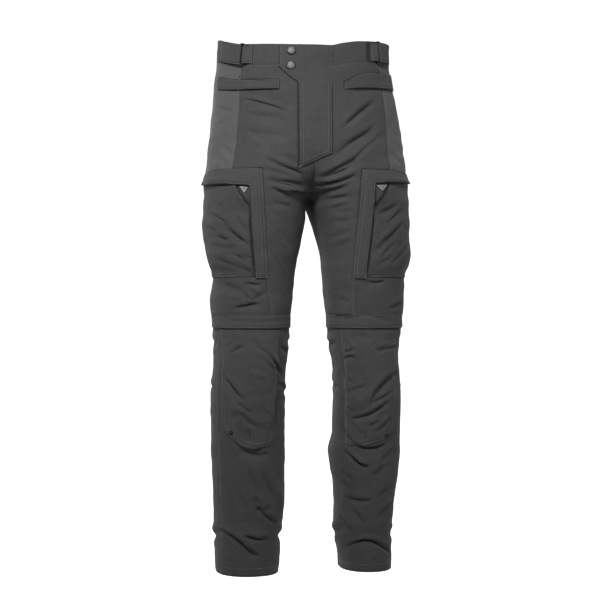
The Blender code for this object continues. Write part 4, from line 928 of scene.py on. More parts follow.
for side, sign in SIDES.items():
    bag = [MOUTH[0], (POCKET_BACK, POCKET_TOP), (POCKET_BACK, POCKET_FOOT)]
    bag += [(POCKET_FRONT, POCKET_FOOT), MOUTH[1]]
    pieces[f"cargo_pocket_{side}"] = cut_piece(
        f"cargo_pocket_{side}", [on_side(sign, bag)], "pocket_cloth", pocket_under,
        scores=[((sign * s, POCKET_TOP), (sign * s, POCKET_FOOT)) for s in (1.106, 1.113, 1.120, 1.127)],
    )
    foot, foot_back = FLAP_FOOT[side], FLAP_FOOT_BACK[side]
    flap = [(FLAP_FRONT, FLAP_TOP), (FLAP_BACK, FLAP_TOP), (FLAP_BACK, foot_back)]
    flap += [(PLACKET_EDGE, foot), (FLAP_FRONT, foot)]
    placket = block(FLAP_FRONT, PLACKET_EDGE, foot, PLACKET_FOOT)
    outlines = [on_side(sign, flap), on_side(sign, placket)]
    pieces[f"cargo_flap_{side}"] = cut_piece(
        f"cargo_flap_{side}", outlines, "shell_cloth", flap_under,
        bent=True,
        scores=[((sign * s, FLAP_TOP), (sign * s, PLACKET_FOOT)) for s in (1.02, 1.032, 1.045, 1.072, 1.086)],
    )
    pieces[f"zip_garage_{side}"] = cut_piece(
        f"zip_garage_{side}", [on_side(sign, GARAGES[side])], "light_cloth", LIES,
    )

# %% [markdown]
# The knee patch is one piece from the knee band down to a rounded foot.

# %% Cut the knee patches
KNEE_CORNERS = {"right": (0.060, 2.1), "left": (0.050, 2.6)}
KNEE_EDGES = {"right": (0.73, 1.48), "left": (0.28, 1.42)}
KNEE_TOP, KNEE_FOOT, KNEE_STANDS = -0.541, -0.763, 0.0045


def knee_patch(side_name):
    inner, outer = KNEE_EDGES[side_name]
    corner, power = KNEE_CORNERS[side_name]
    foot = []
    for step in range(29):
        across = -math.cos(math.pi * step / 28)
        curve = 1 - (1 - abs(across) ** power) ** (1 / power)
        foot.append(((inner + outer) / 2 - across * (outer - inner) / 2, KNEE_FOOT + corner * curve))

    def knee_under(place, level, points):
        across = np.clip((place - inner) / (outer - inner), 0, 1)
        down = (KNEE_TOP - level) / (KNEE_TOP - KNEE_FOOT)
        full = ramp(down, 0.02, 0.30) * (1 - ramp(down, 0.66, 0.92))
        return LIES + KNEE_STANDS * full * np.sin(math.pi * across)

    outline = on_side(SIDES[side_name], [(inner, KNEE_TOP), (outer, KNEE_TOP)] + foot)
    node = f"knee_patch_{side_name}"
    pieces[node] = cut_piece(node, [outline], "shell_cloth", knee_under)


for side in SIDES:
    knee_patch(side)
print(len(pieces), "pieces of cloth cut")

# %% [markdown]
# ## The waist adjusters
#
# On each side a black plastic ring, a short loop that ties it to the waistband, and a strap that
# comes from the back, goes through the ring and is folded back over itself. Each strap is a wall
# that follows one line, in distances along the waist and out from it.

# %% Thread the straps through their rings
RING_PLACE = {"right": -1.225, "left": 1.20}
STRAP_END = {"right": -1.58, "left": 1.52}
RING_HEIGHT, RING_WIDTH, RING_BAR, RING_CORNER = 0.0440, 0.0120, 0.0014, 0.0022
STRAP_HEIGHT, LOOP_HEIGHT, STRAP_LEVEL = 0.0370, 0.0330, 0.0005
RING_AWAY = LIES + TRIM + 0.0010 + RING_BAR
TURN = RING_BAR + 0.0003 + TRIM / 2


def spot_on(place, level):
    """A point of the waistband or a panel, and the direction out of it."""
    side_name = "right" if place < 0 else "left"
    share = share_at(side_name, np.array([abs(place)]), np.array([level]))
    points, normals = cloth_points(side_name, share, np.array([level]))
    return points[0], normals[0]


def local_frame(place, level, away):
    """A point off the cloth, and the directions along the waist, up and out of it."""
    point, out = spot_on(place, level)
    ahead = spot_on(place + 0.02, level)[0] - spot_on(place - 0.02, level)[0]
    along = unit(ahead - out * (ahead @ out))
    up = np.cross(out, along)
    up *= math.copysign(1, up[2])
    return point + out * away, along, up, out


def placed(spot, frame):
    origin, along, up, out = frame
    return origin + along * spot[0] + up * spot[1] + out * spot[2]


def face_outwards(shape, mesh):
    """Turns the faces of a closed shape outwards and writes it to a mesh."""
    bmesh.ops.recalc_face_normals(shape, faces=shape.faces)
    if shape.calc_volume(signed=True) < 0:
        bmesh.ops.reverse_faces(shape, faces=shape.faces)
    shape.to_mesh(mesh)
    shape.free()
    mesh.shade_smooth()


def folded_strap(node, side_name, way, tucked, far_places, height):
    """A strap folded round one bar of the ring. way is 1 away from the front, -1 to it."""
    sign = SIDES[side_name]
    frame = local_frame(RING_PLACE[side_name], STRAP_LEVEL, RING_AWAY)
    bar = way * (RING_WIDTH / 2 - RING_BAR)
    line = [(bar + way * tucked, -TURN), (bar + way * tucked * 2 / 3, -TURN), (bar + way * tucked / 3, -TURN)]
    for step in range(13):
        angle = math.pi * step / 12
        line.append((bar - way * TURN * math.sin(angle), -TURN * math.cos(angle)))
    line.append((bar + way * 0.0035, TURN))
    line = np.array(line)
    along = unit(np.gradient(line, axis=0))
    aside = np.stack([-along[:, 1], along[:, 0]], axis=1) * TRIM / 2 * way
    start = RING_AWAY + TURN
    skins = ([], [])
    for v in np.linspace(height / 2, -height / 2, 16):
        for skin, reach in zip(skins, (1, -1)):
            row = [placed((u * sign, v, w), frame) for u, w in line + aside * reach]
            for k, place in enumerate(far_places):
                down = (k + 1) / len(far_places)
                centre = start + (LIES + TRIM / 2 - start) * down
                point, out = spot_on(place, STRAP_LEVEL + v)
                row.append(point + out * (centre + reach * TRIM / 2))
            skin.append(row)
    outer, inner = (np.array(skin) for skin in skins)
    rows, columns = outer.shape[:2]
    count = rows * columns
    at = np.arange(count).reshape(rows, columns)
    faces = []
    for i in range(rows - 1):
        for j in range(columns - 1):
            square = [at[i, j], at[i + 1, j], at[i + 1, j + 1], at[i, j + 1]]
            faces += [square, [count + c for c in reversed(square)]]
    rim = [*at[:, 0], *at[-1, 1:], *at[-2::-1, -1], *at[0, -2:0:-1]]
    for a, b in zip(rim, rim[1:] + rim[:1]):
        faces.append([b, a, count + a, count + b])
    mesh = bpy.data.meshes.new(node + "_cloth")
    mesh.from_pydata(np.concatenate([outer.reshape(-1, 3), inner.reshape(-1, 3)]).tolist(), [], faces)
    shape = bmesh.new()
    shape.from_mesh(mesh)
    face_outwards(shape, mesh)
    mesh.set_sharp_from_angle(angle=math.radians(45))
    middle = (outer + inner) / 2
    run = np.concatenate([[0], np.cumsum(np.linalg.norm(np.diff(middle[rows // 2], axis=0), axis=1))])
    down = np.linspace(0, height, rows)
    flat = np.stack(np.broadcast_arrays(run[None, :], -down[:, None]), axis=-1).reshape(-1, 2)
    to_side, to_end = np.minimum(down, height - down), np.minimum(run, run[-1] - run)
    edge = np.minimum(to_side[:, None], to_end[None, :]).ravel()
    keep_flat(mesh, np.tile(flat, (2, 1)), np.tile(edge, 2))
    made = add_object(node + "_cloth", mesh)
    made["slot"] = "strap_cloth"
    stand_for(made, node)
    cut_sizes[node] = (height, float(run[-1]), height * float(run[-1]))
    pieces[node] = {
        "object": made, "outer": outer.reshape(-1, 3), "loops": [[int(c) for c in rim]], "run": run
    }


for side, sign in SIDES.items():
    start, end = abs(RING_PLACE[side]), abs(STRAP_END[side])
    behind = [sign * s for s in np.linspace(start + 0.10, end, 14)]
    folded_strap(f"waist_strap_{side}", side, 1, 0.010, behind, STRAP_HEIGHT)
    ahead = [sign * s for s in np.linspace(start - 0.055, start - 0.115, 4)]
    folded_strap(f"ring_loop_{side}", side, -1, 0.004, ahead, LOOP_HEIGHT)
print("strap cut, m:", [round(v, 3) for v in cut_sizes["waist_strap_right"][:2]])

# %% [markdown]
# ## Rings, snaps and eyelets
#
# The hard pieces are seated on the finished cloth, with finer rims than the CAD model's: a round
# bar bent into a rectangle, and turned profiles for the snaps and the eyelets.

# %% Turn the hard pieces
SNAP_PLACES = {"upper": (-0.374, 0.009), "lower": (-0.382, -0.0195)}
EYELET_PLACES = {"right": (-1.38, -0.7365), "left": (1.32, -0.7450)}
SNAP_FOOT, SNAP_CAP, EYELET_HOLE, EYELET_REACH = 0.0090, 0.0076, 0.0018, 0.0046
hard = {}


def surface_of(node):
    """The outer skin of a piece, to seat things on."""
    mesh, count = pieces[node]["object"].data, len(pieces[node]["outer"])
    skin = [tuple(f.vertices) for f in mesh.polygons if max(f.vertices) < count]
    return BVHTree.FromPolygons([v.co.copy() for v in mesh.vertices[:count]], skin)


RAY_START, RAY_REACH = 0.03, 0.06


def seat_on(node, place, level, away):
    """A frame on the finished surface of a piece, tilted as the cloth lies there."""
    point, along, up, out = local_frame(place, level, 0)
    skin, reach = surface_of(node), 0.004
    hits = []
    for aside in ((0, 0), (reach, 0), (0, reach), (-reach, 0), (0, -reach)):
        start = point + along * aside[0] + up * aside[1] + out * RAY_START
        hit, *_ = skin.ray_cast(Vector(start), Vector(-out), RAY_REACH)
        hits.append(np.array(hit) if hit is not None else start - out * RAY_START)
    tilted = np.cross(hits[1] - hits[3], hits[2] - hits[4])
    tilted *= math.copysign(1, tilted @ out) / np.linalg.norm(tilted)
    along = unit(along - tilted * (along @ tilted))
    lift = max(float((hit - hits[0]) @ tilted) for hit in hits)
    return hits[0] + tilted * (away + lift), along, np.cross(tilted, along), tilted


def hard_piece(node, shape):
    mesh = bpy.data.meshes.new(node + "_fine")
    face_outwards(shape, mesh)
    mesh.set_sharp_from_angle(angle=math.radians(50))
    made = add_object(node + "_fine", mesh)
    stand_for(made, node)
    hard[node] = made


CORNER_STEPS, BAR_SIDES = 8, 14


def ring(side_name):
    """A rectangular ring of round bar, with rounded corners."""
    frame = local_frame(RING_PLACE[side_name], STRAP_LEVEL, RING_AWAY)
    half_u, half_v = RING_WIDTH / 2 - RING_BAR, RING_HEIGHT / 2 - RING_BAR
    route = []
    for quarter, (u, v) in enumerate(((1, 1), (-1, 1), (-1, -1), (1, -1))):
        corner = np.array([u * (half_u - RING_CORNER), v * (half_v - RING_CORNER), 0])
        for step in range(CORNER_STEPS + 1):
            angle = (quarter + step / CORNER_STEPS) * math.pi / 2
            way = np.array([math.cos(angle), math.sin(angle), 0])
            route.append((corner + RING_CORNER * way, way))
    shape = bmesh.new()
    bars = []
    for centre, way in route:
        turns = [2 * math.pi * k / BAR_SIDES for k in range(BAR_SIDES)]
        spots = [centre + RING_BAR * (way * math.cos(t) + np.array([0, 0, math.sin(t)])) for t in turns]
        bars.append([shape.verts.new(placed(spot, frame)) for spot in spots])
    for first, second in zip(bars, bars[1:] + bars[:1]):
        for k in range(BAR_SIDES):
            m = (k + 1) % BAR_SIDES
            shape.faces.new([first[k], first[m], second[m], second[k]])
    hard_piece(f"waist_ring_{side_name}", shape)


def turned(node, profile, frame, sides=48):
    """A round piece turned from a profile of (radius, height) points about the cloth's normal."""
    shape = bmesh.new()
    rounds = []
    for radius, height in profile:
        if radius == 0:
            rounds.append([shape.verts.new(placed((0, 0, height), frame))] * sides)
            continue
        angles = [2 * math.pi * k / sides for k in range(sides)]
        circle = [(radius * math.cos(a), radius * math.sin(a), height) for a in angles]
        rounds.append([shape.verts.new(placed(spot, frame)) for spot in circle])
    closed = profile[0][0] > 0
    for first, second in zip(rounds, rounds[1:] + rounds[:1] if closed else rounds[1:]):
        for k in range(sides):
            m = (k + 1) % sides
            shape.faces.new(list(dict.fromkeys([first[k], first[m], second[m], second[k]])))
    hard_piece(node, shape)


SEATED, CAP_SEATED = 0.0002, 0.0012
FOOT_PROFILE = [(0, 0), (SNAP_FOOT, 0), (SNAP_FOOT, 0.0005), (0.0086, 0.0010), (0.0080, 0.0008), (0, 0.0008)]
CAP_PROFILE = [
    (0, 0), (0.0074, 0), (SNAP_CAP, 0.0003), (SNAP_CAP, 0.0009), (0.0073, 0.0015), (0.0068, 0.0016),
    (0.0063, 0.0012), (0.0059, 0.0013), (0.0050, 0.0016), (0.0036, 0.0018), (0.0018, 0.0019), (0, 0.0019),
]
EYELET_PROFILE = [
    (EYELET_HOLE, 0), (EYELET_REACH, 0), (0.0047, 0.0004), (0.0043, 0.0010), (0.0036, 0.0014),
    (0.0028, 0.0013), (0.0021, 0.0009), (EYELET_HOLE, 0.0003),
]
for side in SIDES:
    ring(side)
    place, level = EYELET_PLACES[side]
    seat = seat_on(f"knee_patch_{side}", place, level, SEATED)
    turned(f"eyelet_{side}", EYELET_PROFILE, seat)
for name, (place, level) in SNAP_PLACES.items():
    turned(f"snap_foot_{name}", FOOT_PROFILE, seat_on("fly_flap", place, level, SEATED))
    turned(f"snap_cap_{name}", CAP_PROFILE, seat_on("fly_flap", place, level, CAP_SEATED))
print(len(hard), "hard pieces")

# %% [markdown]
# ## Where pieces meet
#
# Beside the edge of a piece that is sewn on, the cloth under it is drawn in and shade falls there,
# so the material paints that shade. Each piece that carries another keeps, at its points, the signed
# distance past the edge of what lies on it, and the cloth's material darkens that line as painted
# shade. Where the upper piece gapes, as along the fly, the distances are shortened and the painted
# line is wider. The cloth seen through a ring has the value -1, and is painted dark as its shade.

# %% Measure how far the cloth is from the edges that lie on it
CARRIED = {
    "waistband_front_right": ["fly_flap", "waist_strap_right", "ring_loop_right"],
    "waistband_front_left": ["fly_flap", "waist_strap_left", "ring_loop_left"],
    "waistband_back": ["waist_strap_right", "waist_strap_left"],
    "front_panel_right": ["fly_flap", "hip_welt_right", "cargo_flap_right"],
    "front_panel_left": ["fly_flap", "hip_welt_left", "cargo_flap_left"],
}
for side in SIDES:
    CARRIED[f"side_panel_{side}"] = [f"hip_welt_{side}", f"cargo_flap_{side}"]
    CARRIED[f"thigh_side_{side}"] = [f"cargo_flap_{side}", f"cargo_pocket_{side}", f"zip_garage_{side}"]
    CARRIED[f"cargo_pocket_{side}"] = [f"cargo_flap_{side}"]
    CARRIED[f"shin_front_{side}"] = [f"knee_patch_{side}", f"knee_band_{side}"]
    CARRIED[f"shin_side_{side}"] = [f"knee_band_{side}"]
    CARRIED[f"calf_back_{side}"] = [f"knee_band_{side}"]
BESIDE_REACH, IN_SHADE = 0.010, -1.0
SHADE_HALF_WIDTH, SHADE_DEPTH = 0.0045, 0.01
GAPING = {
    ("front_panel_right", "fly_flap"): 0.35,
    ("waistband_front_right", "fly_flap"): 0.60,
    ("cargo_pocket_right", "cargo_flap_right"): 0.40,
    ("cargo_pocket_left", "cargo_flap_left"): 0.40,
    ("shin_front_right", "knee_patch_right"): 0.75,
    ("shin_front_left", "knee_patch_left"): 0.75,
}


def distance_past(points, normals, piece):
    """How far each point is past the edge of a piece that lies on it, and negative under the piece."""
    starts, ends = stretches(piece["outer"], piece["loops"])
    middle = KDTree(len(starts))
    for k, at in enumerate((starts + ends) / 2):
        middle.insert(at, k)
    middle.balance()
    found = np.full(len(points), BESIDE_REACH)
    for i, (point, normal) in enumerate(zip(points, normals)):
        for _, k, away in middle.find_n(point, 3):
            if away > BESIDE_REACH:
                break
            along = ends[k] - starts[k]
            t = np.clip((point - starts[k]) @ along / max(along @ along, 1e-12), 0, 1)
            off = point - starts[k] - t * along
            off -= normal * (off @ normal)
            reach = float(np.linalg.norm(off))
            if reach < abs(found[i]):
                found[i] = math.copysign(reach, off @ np.cross(along, normal))
    return found


for node, piece in pieces.items():
    mesh = piece["object"].data
    beside = np.full(len(mesh.vertices), BESIDE_REACH)
    if node in CARRIED:
        count = len(piece["outer"])
        normals = np.array([v.normal for v in mesh.vertices[:count]])
        for other in CARRIED[node]:
            past = distance_past(piece["outer"], normals, pieces[other]) * GAPING.get((node, other), 1)
            closer = np.abs(past) < np.abs(beside[:count])
            beside[:count] = np.where(closer, past, beside[:count])
    # The cloth seen through each ring is marked IN_SHADE, which the material paints as deep shade.
    if node.startswith("waistband"):
        for side in SIDES:
            centre, along, up, out = local_frame(RING_PLACE[side], STRAP_LEVEL, 0)
            off = piece["outer"] - centre
            in_ring = (np.abs(off @ up) < RING_HEIGHT / 2) & (np.abs(off @ out) < SHADE_DEPTH)
            in_ring &= np.abs(off @ along) < SHADE_HALF_WIDTH
            beside[:count] = np.where(in_ring, IN_SHADE, beside[:count])
    keep_at_points(mesh, "beside", beside)
print("edges measured on", len(CARRIED), "pieces")

# %% [markdown]
# ## Cloth
#
# All the cloth is canvas of textured polyamide: a plain weave of thick, slightly uneven threads,
# nearly matt, with a soft sheen where it turns away. The material works in metres from the flat
# cut, so the weave runs true on every panel. Along the cut edges it has the seam's pull, a row of
# needle dents with painted shade in them, and a little wear that also serves as a painted highlight.
# Beside the edges of what lies on it, and inside the rings, it has painted shade.

# %% Make the cloth materials


def add_node(tree, kind, **settings):
    made = tree.nodes.new(kind)
    for name, value in settings.items():
        setattr(made, name, value)
    return made


def maths(tree, operation, a, b=None):
    """A Math node on two values or links."""
    made = add_node(tree, "ShaderNodeMath", operation=operation)
    for socket, value in zip(made.inputs, (a, b)):
        if value is None:
            continue
        if isinstance(value, (int, float)):
            socket.default_value = value
        else:
            tree.links.new(value, socket)
    return made.outputs[0]


def noise(tree, vector, scale, detail=3.0, rough=0.5):
    made = add_node(tree, "ShaderNodeTexNoise")
    tree.links.new(vector, made.inputs["Vector"])
    made.inputs["Scale"].default_value = scale
    made.inputs["Detail"].default_value = detail
    made.inputs["Roughness"].default_value = rough
    return made.outputs["Fac"]


def groove(tree, distance, at, width):
    """1 on a line at a distance from the edge, fading to 0 to both sides."""
    off = maths(tree, "DIVIDE", maths(tree, "SUBTRACT", distance, at), width)
    return maths(tree, "EXPONENT", maths(tree, "MULTIPLY", maths(tree, "MULTIPLY", off, off), -1.0))


def weighed_sum(tree, parts):
    """The sum of values, each multiplied by its weight."""
    total = None
    for value, weight in parts:
        part = maths(tree, "MULTIPLY", value, weight)
        total = part if total is None else maths(tree, "ADD", total, part)
    return total


def principled(name, tone, values):
    """A Principled material with these values, its node tree and the inputs of its shader."""
    material = bpy.data.materials.new(name)
    material.use_nodes = True
    material.diffuse_color = (*tone, 1)
    inputs = material.node_tree.nodes["Principled BSDF"].inputs
    for label, value in values.items():
        inputs[label].default_value = value
    return material, material.node_tree, inputs


def relief_on(tree, height, inputs):
    """Bends a shader's normal by a height in metres."""
    bump = add_node(tree, "ShaderNodeBump")
    for label in ("Strength", "Distance"):
        bump.inputs[label].default_value = 1.0
    tree.links.new(height, bump.inputs["Height"])
    tree.links.new(bump.outputs["Normal"], inputs["Normal"])


def two_tones(tree, share, tones, inputs):
    """Colours a shader between two tones."""
    mix = add_node(tree, "ShaderNodeMix", data_type="RGBA")
    tree.links.new(share, mix.inputs["Factor"])
    for label, tone in zip("AB", tones):
        mix.inputs[label].default_value = (*tone, 1)
    tree.links.new(mix.outputs["Result"], inputs["Base Color"])


FIRST_ROW, MOTTLE = 0.0022, 0.10
DARKEST, LIGHTEST = 0.22, 1.70


def cloth_material(name, tone, pitch, roughness, sheen, relief):
    """A plain weave. tone is its colour, pitch the distance between threads in metres and relief how
    deep the weave shows."""
    material, tree, inputs = principled(name, tone, {
        "Roughness": roughness, "Sheen Weight": sheen, "Sheen Roughness": 0.55, "Specular IOR Level": 0.28,
    })
    split = add_node(tree, "ShaderNodeSeparateXYZ")
    tree.links.new(add_node(tree, "ShaderNodeUVMap", uv_map="cloth_uv").outputs["UV"], split.inputs[0])
    spot = add_node(tree, "ShaderNodeTexCoord").outputs["Object"]
    edge = add_node(tree, "ShaderNodeAttribute", attribute_name="edge").outputs["Fac"]
    beside = add_node(tree, "ShaderNodeAttribute", attribute_name="beside").outputs["Fac"]
    # The weave: warp over weft, and the ribs across.
    wobble = maths(tree, "MULTIPLY", noise(tree, spot, 160.0, 2.0), 2.2)
    warp, weft = (
        maths(tree, "ADD", maths(tree, "MULTIPLY", split.outputs[k], math.pi / pitch), wobble) for k in (0, 1)
    )
    over = maths(tree, "MULTIPLY", maths(tree, "SINE", warp), maths(tree, "SINE", weft))
    ribs = maths(tree, "MULTIPLY", maths(tree, "SINE", maths(tree, "MULTIPLY", warp, 2.0)), 0.35)
    weave = maths(tree, "ADD", over, ribs)
    slub = noise(tree, spot, 420.0, 3.0, 0.6)
    soft = noise(tree, spot, 55.0, 4.0, 0.55)
    broad = noise(tree, spot, 11.0, 3.0, 0.5)
    # Along the edges: the seam's pull, needle dents with painted shade, wear with a painted highlight, and
    # painted shade under what lies on it.
    pull = maths(tree, "MULTIPLY", groove(tree, edge, 0.0, 0.0035), noise(tree, spot, 190.0, 1.0))
    # Edges lightened: partly wear, partly a painted highlight where a folded edge catches the light.
    edge_wear_and_highlight = maths(tree, "MULTIPLY", groove(tree, edge, 0.0006, 0.0010), noise(tree, spot, 240.0, 2.0))
    # Painted shade: a dark line beside the edges of what lies on the cloth, and deep shade inside the rings.
    shadow = groove(tree, maths(tree, "MAXIMUM", beside, 0.0003), 0.0003, 0.0007)
    in_shade = maths(tree, "LESS_THAN", beside, IN_SHADE / 2)
    relief_on(tree, weighed_sum(tree, (
        (weave, 0.00010 * relief), (slub, 0.00035 * relief), (soft, 0.00120), (pull, -0.0016),
        (groove(tree, edge, FIRST_ROW, 0.0009), -0.00055), (shadow, -0.0008),
    )), inputs)
    shade = weighed_sum(tree, (
        (weave, 0.05), (slub, 0.55), (soft, MOTTLE * 1.6), (broad, MOTTLE * 2.4), (edge_wear_and_highlight, 0.60),
        # Painted shade in the needle row, beside what lies on the cloth and inside the rings.
        (groove(tree, edge, FIRST_ROW, 0.0007), -0.22), (shadow, -0.42), (in_shade, -1.0),
    ))
    tones = add_node(tree, "ShaderNodeValToRGB")
    for element, share in zip(tones.color_ramp.elements, (DARKEST, LIGHTEST)):
        element.color = (*(c * share for c in tone), 1)
    centred = maths(tree, "ADD", maths(tree, "SUBTRACT", shade, 0.275 + MOTTLE * 2.0), 0.5)
    tree.links.new(centred, tones.inputs["Fac"])
    tree.links.new(tones.outputs["Color"], inputs["Base Color"])
    return material


CLOTHS = {
    "shell_cloth": cloth_material("shell_canvas", (0.074, 0.074, 0.076), 0.0011, 0.86, 0.10, 1.0),
    "abrasion_cloth": cloth_material("hip_cloth", (0.118, 0.118, 0.120), 0.0008, 0.72, 0.14, 0.55),
    "pocket_cloth": cloth_material("pocket_canvas", (0.066, 0.066, 0.068), 0.0010, 0.84, 0.10, 0.9),
    "strap_cloth": cloth_material("strap_canvas", (0.075, 0.075, 0.077), 0.0010, 0.80, 0.08, 1.0),
    "light_cloth": cloth_material("garage_cloth", (0.300, 0.300, 0.300), 0.0007, 0.70, 0.05, 0.7),
}
for piece in pieces.values():
    piece["object"].data.materials.append(CLOTHS[piece["object"]["slot"]])
print("cloths:", ", ".join(CLOTHS))

# %% [markdown]
# ## Plastic and metal
#
# The rings are moulded black plastic with a satin grain. The snaps and eyelets are plated metal,
# brushed by handling.

# %% Finish the rings, snaps and eyelets


def hard_material(name, tone, roughness, metallic, grain, scale):
    """A plastic or metal with a fine grain, brushed unevenly."""
    material, tree, inputs = principled(name, tone, {"Metallic": metallic})
    spot = add_node(tree, "ShaderNodeTexCoord").outputs["Object"]
    fine = noise(tree, spot, scale, 4.0, 0.6)
    level = maths(tree, "ADD", maths(tree, "MULTIPLY", fine, 0.18), roughness - 0.09)
    tree.links.new(level, inputs["Roughness"])
    relief_on(tree, maths(tree, "MULTIPLY", fine, grain), inputs)
    tones = [[c * share for c in tone] for share in (0.75, 1.30)]
    two_tones(tree, noise(tree, spot, scale / 9, 2.0), tones, inputs)
    return material


FINISHES = {
    "waist_ring": hard_material("ring_plastic", (0.008, 0.008, 0.008), 0.38, 0.0, 0.00003, 1800.0),
    "snap_cap": hard_material("cap_metal", (0.15, 0.15, 0.155), 0.60, 1.0, 0.00002, 2600.0),
    "snap_foot": hard_material("foot_metal", (0.020, 0.020, 0.021), 0.40, 1.0, 0.00002, 2600.0),
    "eyelet": hard_material("eyelet_metal", (0.018, 0.018, 0.019), 0.30, 1.0, 0.00002, 2600.0),
}
for node, made in hard.items():
    made.data.materials.append(FINISHES[node.rsplit("_", 1)[0]])
print("finishes on", len(hard), "hard pieces")

# %% [markdown]
# ## Rolled edges and piping
#
# A free edge is turned under before it is sewn, so it is a soft roll and not a cut. It catches a
# thin line of light. The pocket's slanting mouth is piped with a thicker cord. Each roll is a thin
# tube along the edge, and belongs to its piece.

# %% Roll the free edges


def smooth_line(points, spacing):
    """A line of points at even spacing."""
    points = np.array(points)
    along = np.concatenate([[0], np.cumsum(np.linalg.norm(np.diff(points, axis=0), axis=1))])
    at = np.linspace(0, along[-1], max(3, int(along[-1] / spacing) + 1))
    return np.stack([np.interp(at, along, points[:, k]) for k in range(points.shape[1])], axis=1)


def tube(name, points, radius, sides=8):
    """A tube along a line of points, closed at its ends."""
    along = unit(np.gradient(points, axis=0))
    aside = unit(np.cross(along, np.array([0.31, 0.23, 0.92])))
    across = np.cross(along, aside)
    turns = np.linspace(0, 2 * math.pi, sides, endpoint=False)
    from_start = np.arange(len(points))
    size = radius * np.minimum(1, 0.35 + 0.65 * np.minimum(from_start, from_start[::-1]) / 2)
    rings = points[:, None] + size[:, None, None] * (
        np.cos(turns)[None, :, None] * aside[:, None] + np.sin(turns)[None, :, None] * across[:, None]
    )
    faces = [tuple(range(sides)), tuple(reversed(range(len(points) * sides - sides, len(points) * sides)))]
    for i in range(len(points) - 1):
        for k in range(sides):
            a, b = i * sides + k, i * sides + (k + 1) % sides
            faces.append((b, a, a + sides, b + sides))
    mesh = bpy.data.meshes.new(name)
    mesh.from_pydata(rings.reshape(-1, 3).tolist(), [], faces)
    length = np.concatenate([[0], np.cumsum(np.linalg.norm(np.diff(points, axis=0), axis=1))])
    flat = np.stack(np.broadcast_arrays(turns[None] * radius, length[:, None]), axis=-1).reshape(-1, 2)
    keep_flat(mesh, flat, np.full(len(mesh.vertices), 0.02))
    shape = bmesh.new()
    shape.from_mesh(mesh)
    face_outwards(shape, mesh)
    return add_object(name, mesh)


def rows_along(node, inset, box, rise):
    """Lines on a piece at an inset from its edge, for the stretches of the edge inside a box of
    (least place, most place, least level, most level), with places counted from the middle."""
    piece = pieces[node]
    flat, spots = piece["flat"], piece["spots"]
    surface = surface_of(node)
    starts, ends = stretches(flat, piece["loops"])
    lines = []
    for loop in piece["loops"]:
        ring = flat[loop]
        inwards = leftwards(ring)
        inwards *= 2 / np.maximum((inwards**2).sum(axis=1, keepdims=True), 1.2)
        moved = ring + inwards * inset
        place = np.abs(np.where(spots[loop, 0] > 3, 6 - spots[loop, 0], spots[loop, 0]))
        level = spots[loop, 1]
        good = (place >= box[0]) & (place <= box[1]) & (level >= box[2]) & (level <= box[3])
        good &= distance_to(moved, starts, ends) > 0.85 * inset
        base, out = lay(moved[:, 0], moved[:, 1], piece["kind"])
        first = int(np.argmin(good)) if not good.all() else 0
        line = []
        order = [(first + k) % len(loop) for k in range(len(loop) + (1 if good.all() else 0))]
        for k in order:
            hit = None
            if good[k]:
                origin = Vector(base[k] + out[k] * RAY_START)
                hit, *_ = surface.ray_cast(origin, Vector(-out[k]), RAY_REACH)
            if hit is not None:
                line.append(np.array(hit) + out[k] * rise)
            elif line:
                lines.append(line)
                line = []
        lines.append(line)
    return [line for line in lines if len(line) > 2]


def roll(node, box, radius):
    """Rolls a piece's edge where it runs inside a box, as rows_along has it."""
    for k, line in enumerate(rows_along(node, radius * 0.5, box, -radius * 0.55)):
        made = tube(f"{node}_roll_{k}", smooth_line(line, 0.003), radius)
        made.parent = pieces[node]["object"]
        made.data.materials.append(CLOTHS[pieces[node]["object"]["slot"]])
        rolls.append(made)


rolls = []
for side in SIDES:
    roll(f"cargo_flap_{side}", (1.14, 1.92, -0.266, -0.249), 0.0010)
    roll(f"cargo_flap_{side}", (1.095, 1.105, -0.436, -0.265), 0.0009)
    roll(f"cargo_pocket_{side}", (1.065, 1.268, -0.324, -0.242), 0.0013)
    roll(f"hip_welt_{side}", (0.50, 1.56, -0.076, -0.0705), 0.0008)
roll("fly_flap", (0.0, 0.229, -0.236, -0.056), 0.0008)
print(len(rolls), "rolled edges")

# %% [markdown]
# ## Stitching
#
# The stitches are all alike, so Geometry Nodes makes them: each row is a line on the cloth, resampled
# to the stitch length, with one short thread on each of its points along the line. The thread is
# bonded polyester, a shade lighter than the cloth, 3 mm long with 1 mm between.

# %% Sew the rows
SECOND_ROW, SEAM_ROW, HEM_ROW, THREAD_LIFT = 0.0075, 0.0024, 0.0160, 0.00025
EVERYWHERE = (0.0, 9.0, -1.0, 1.0)
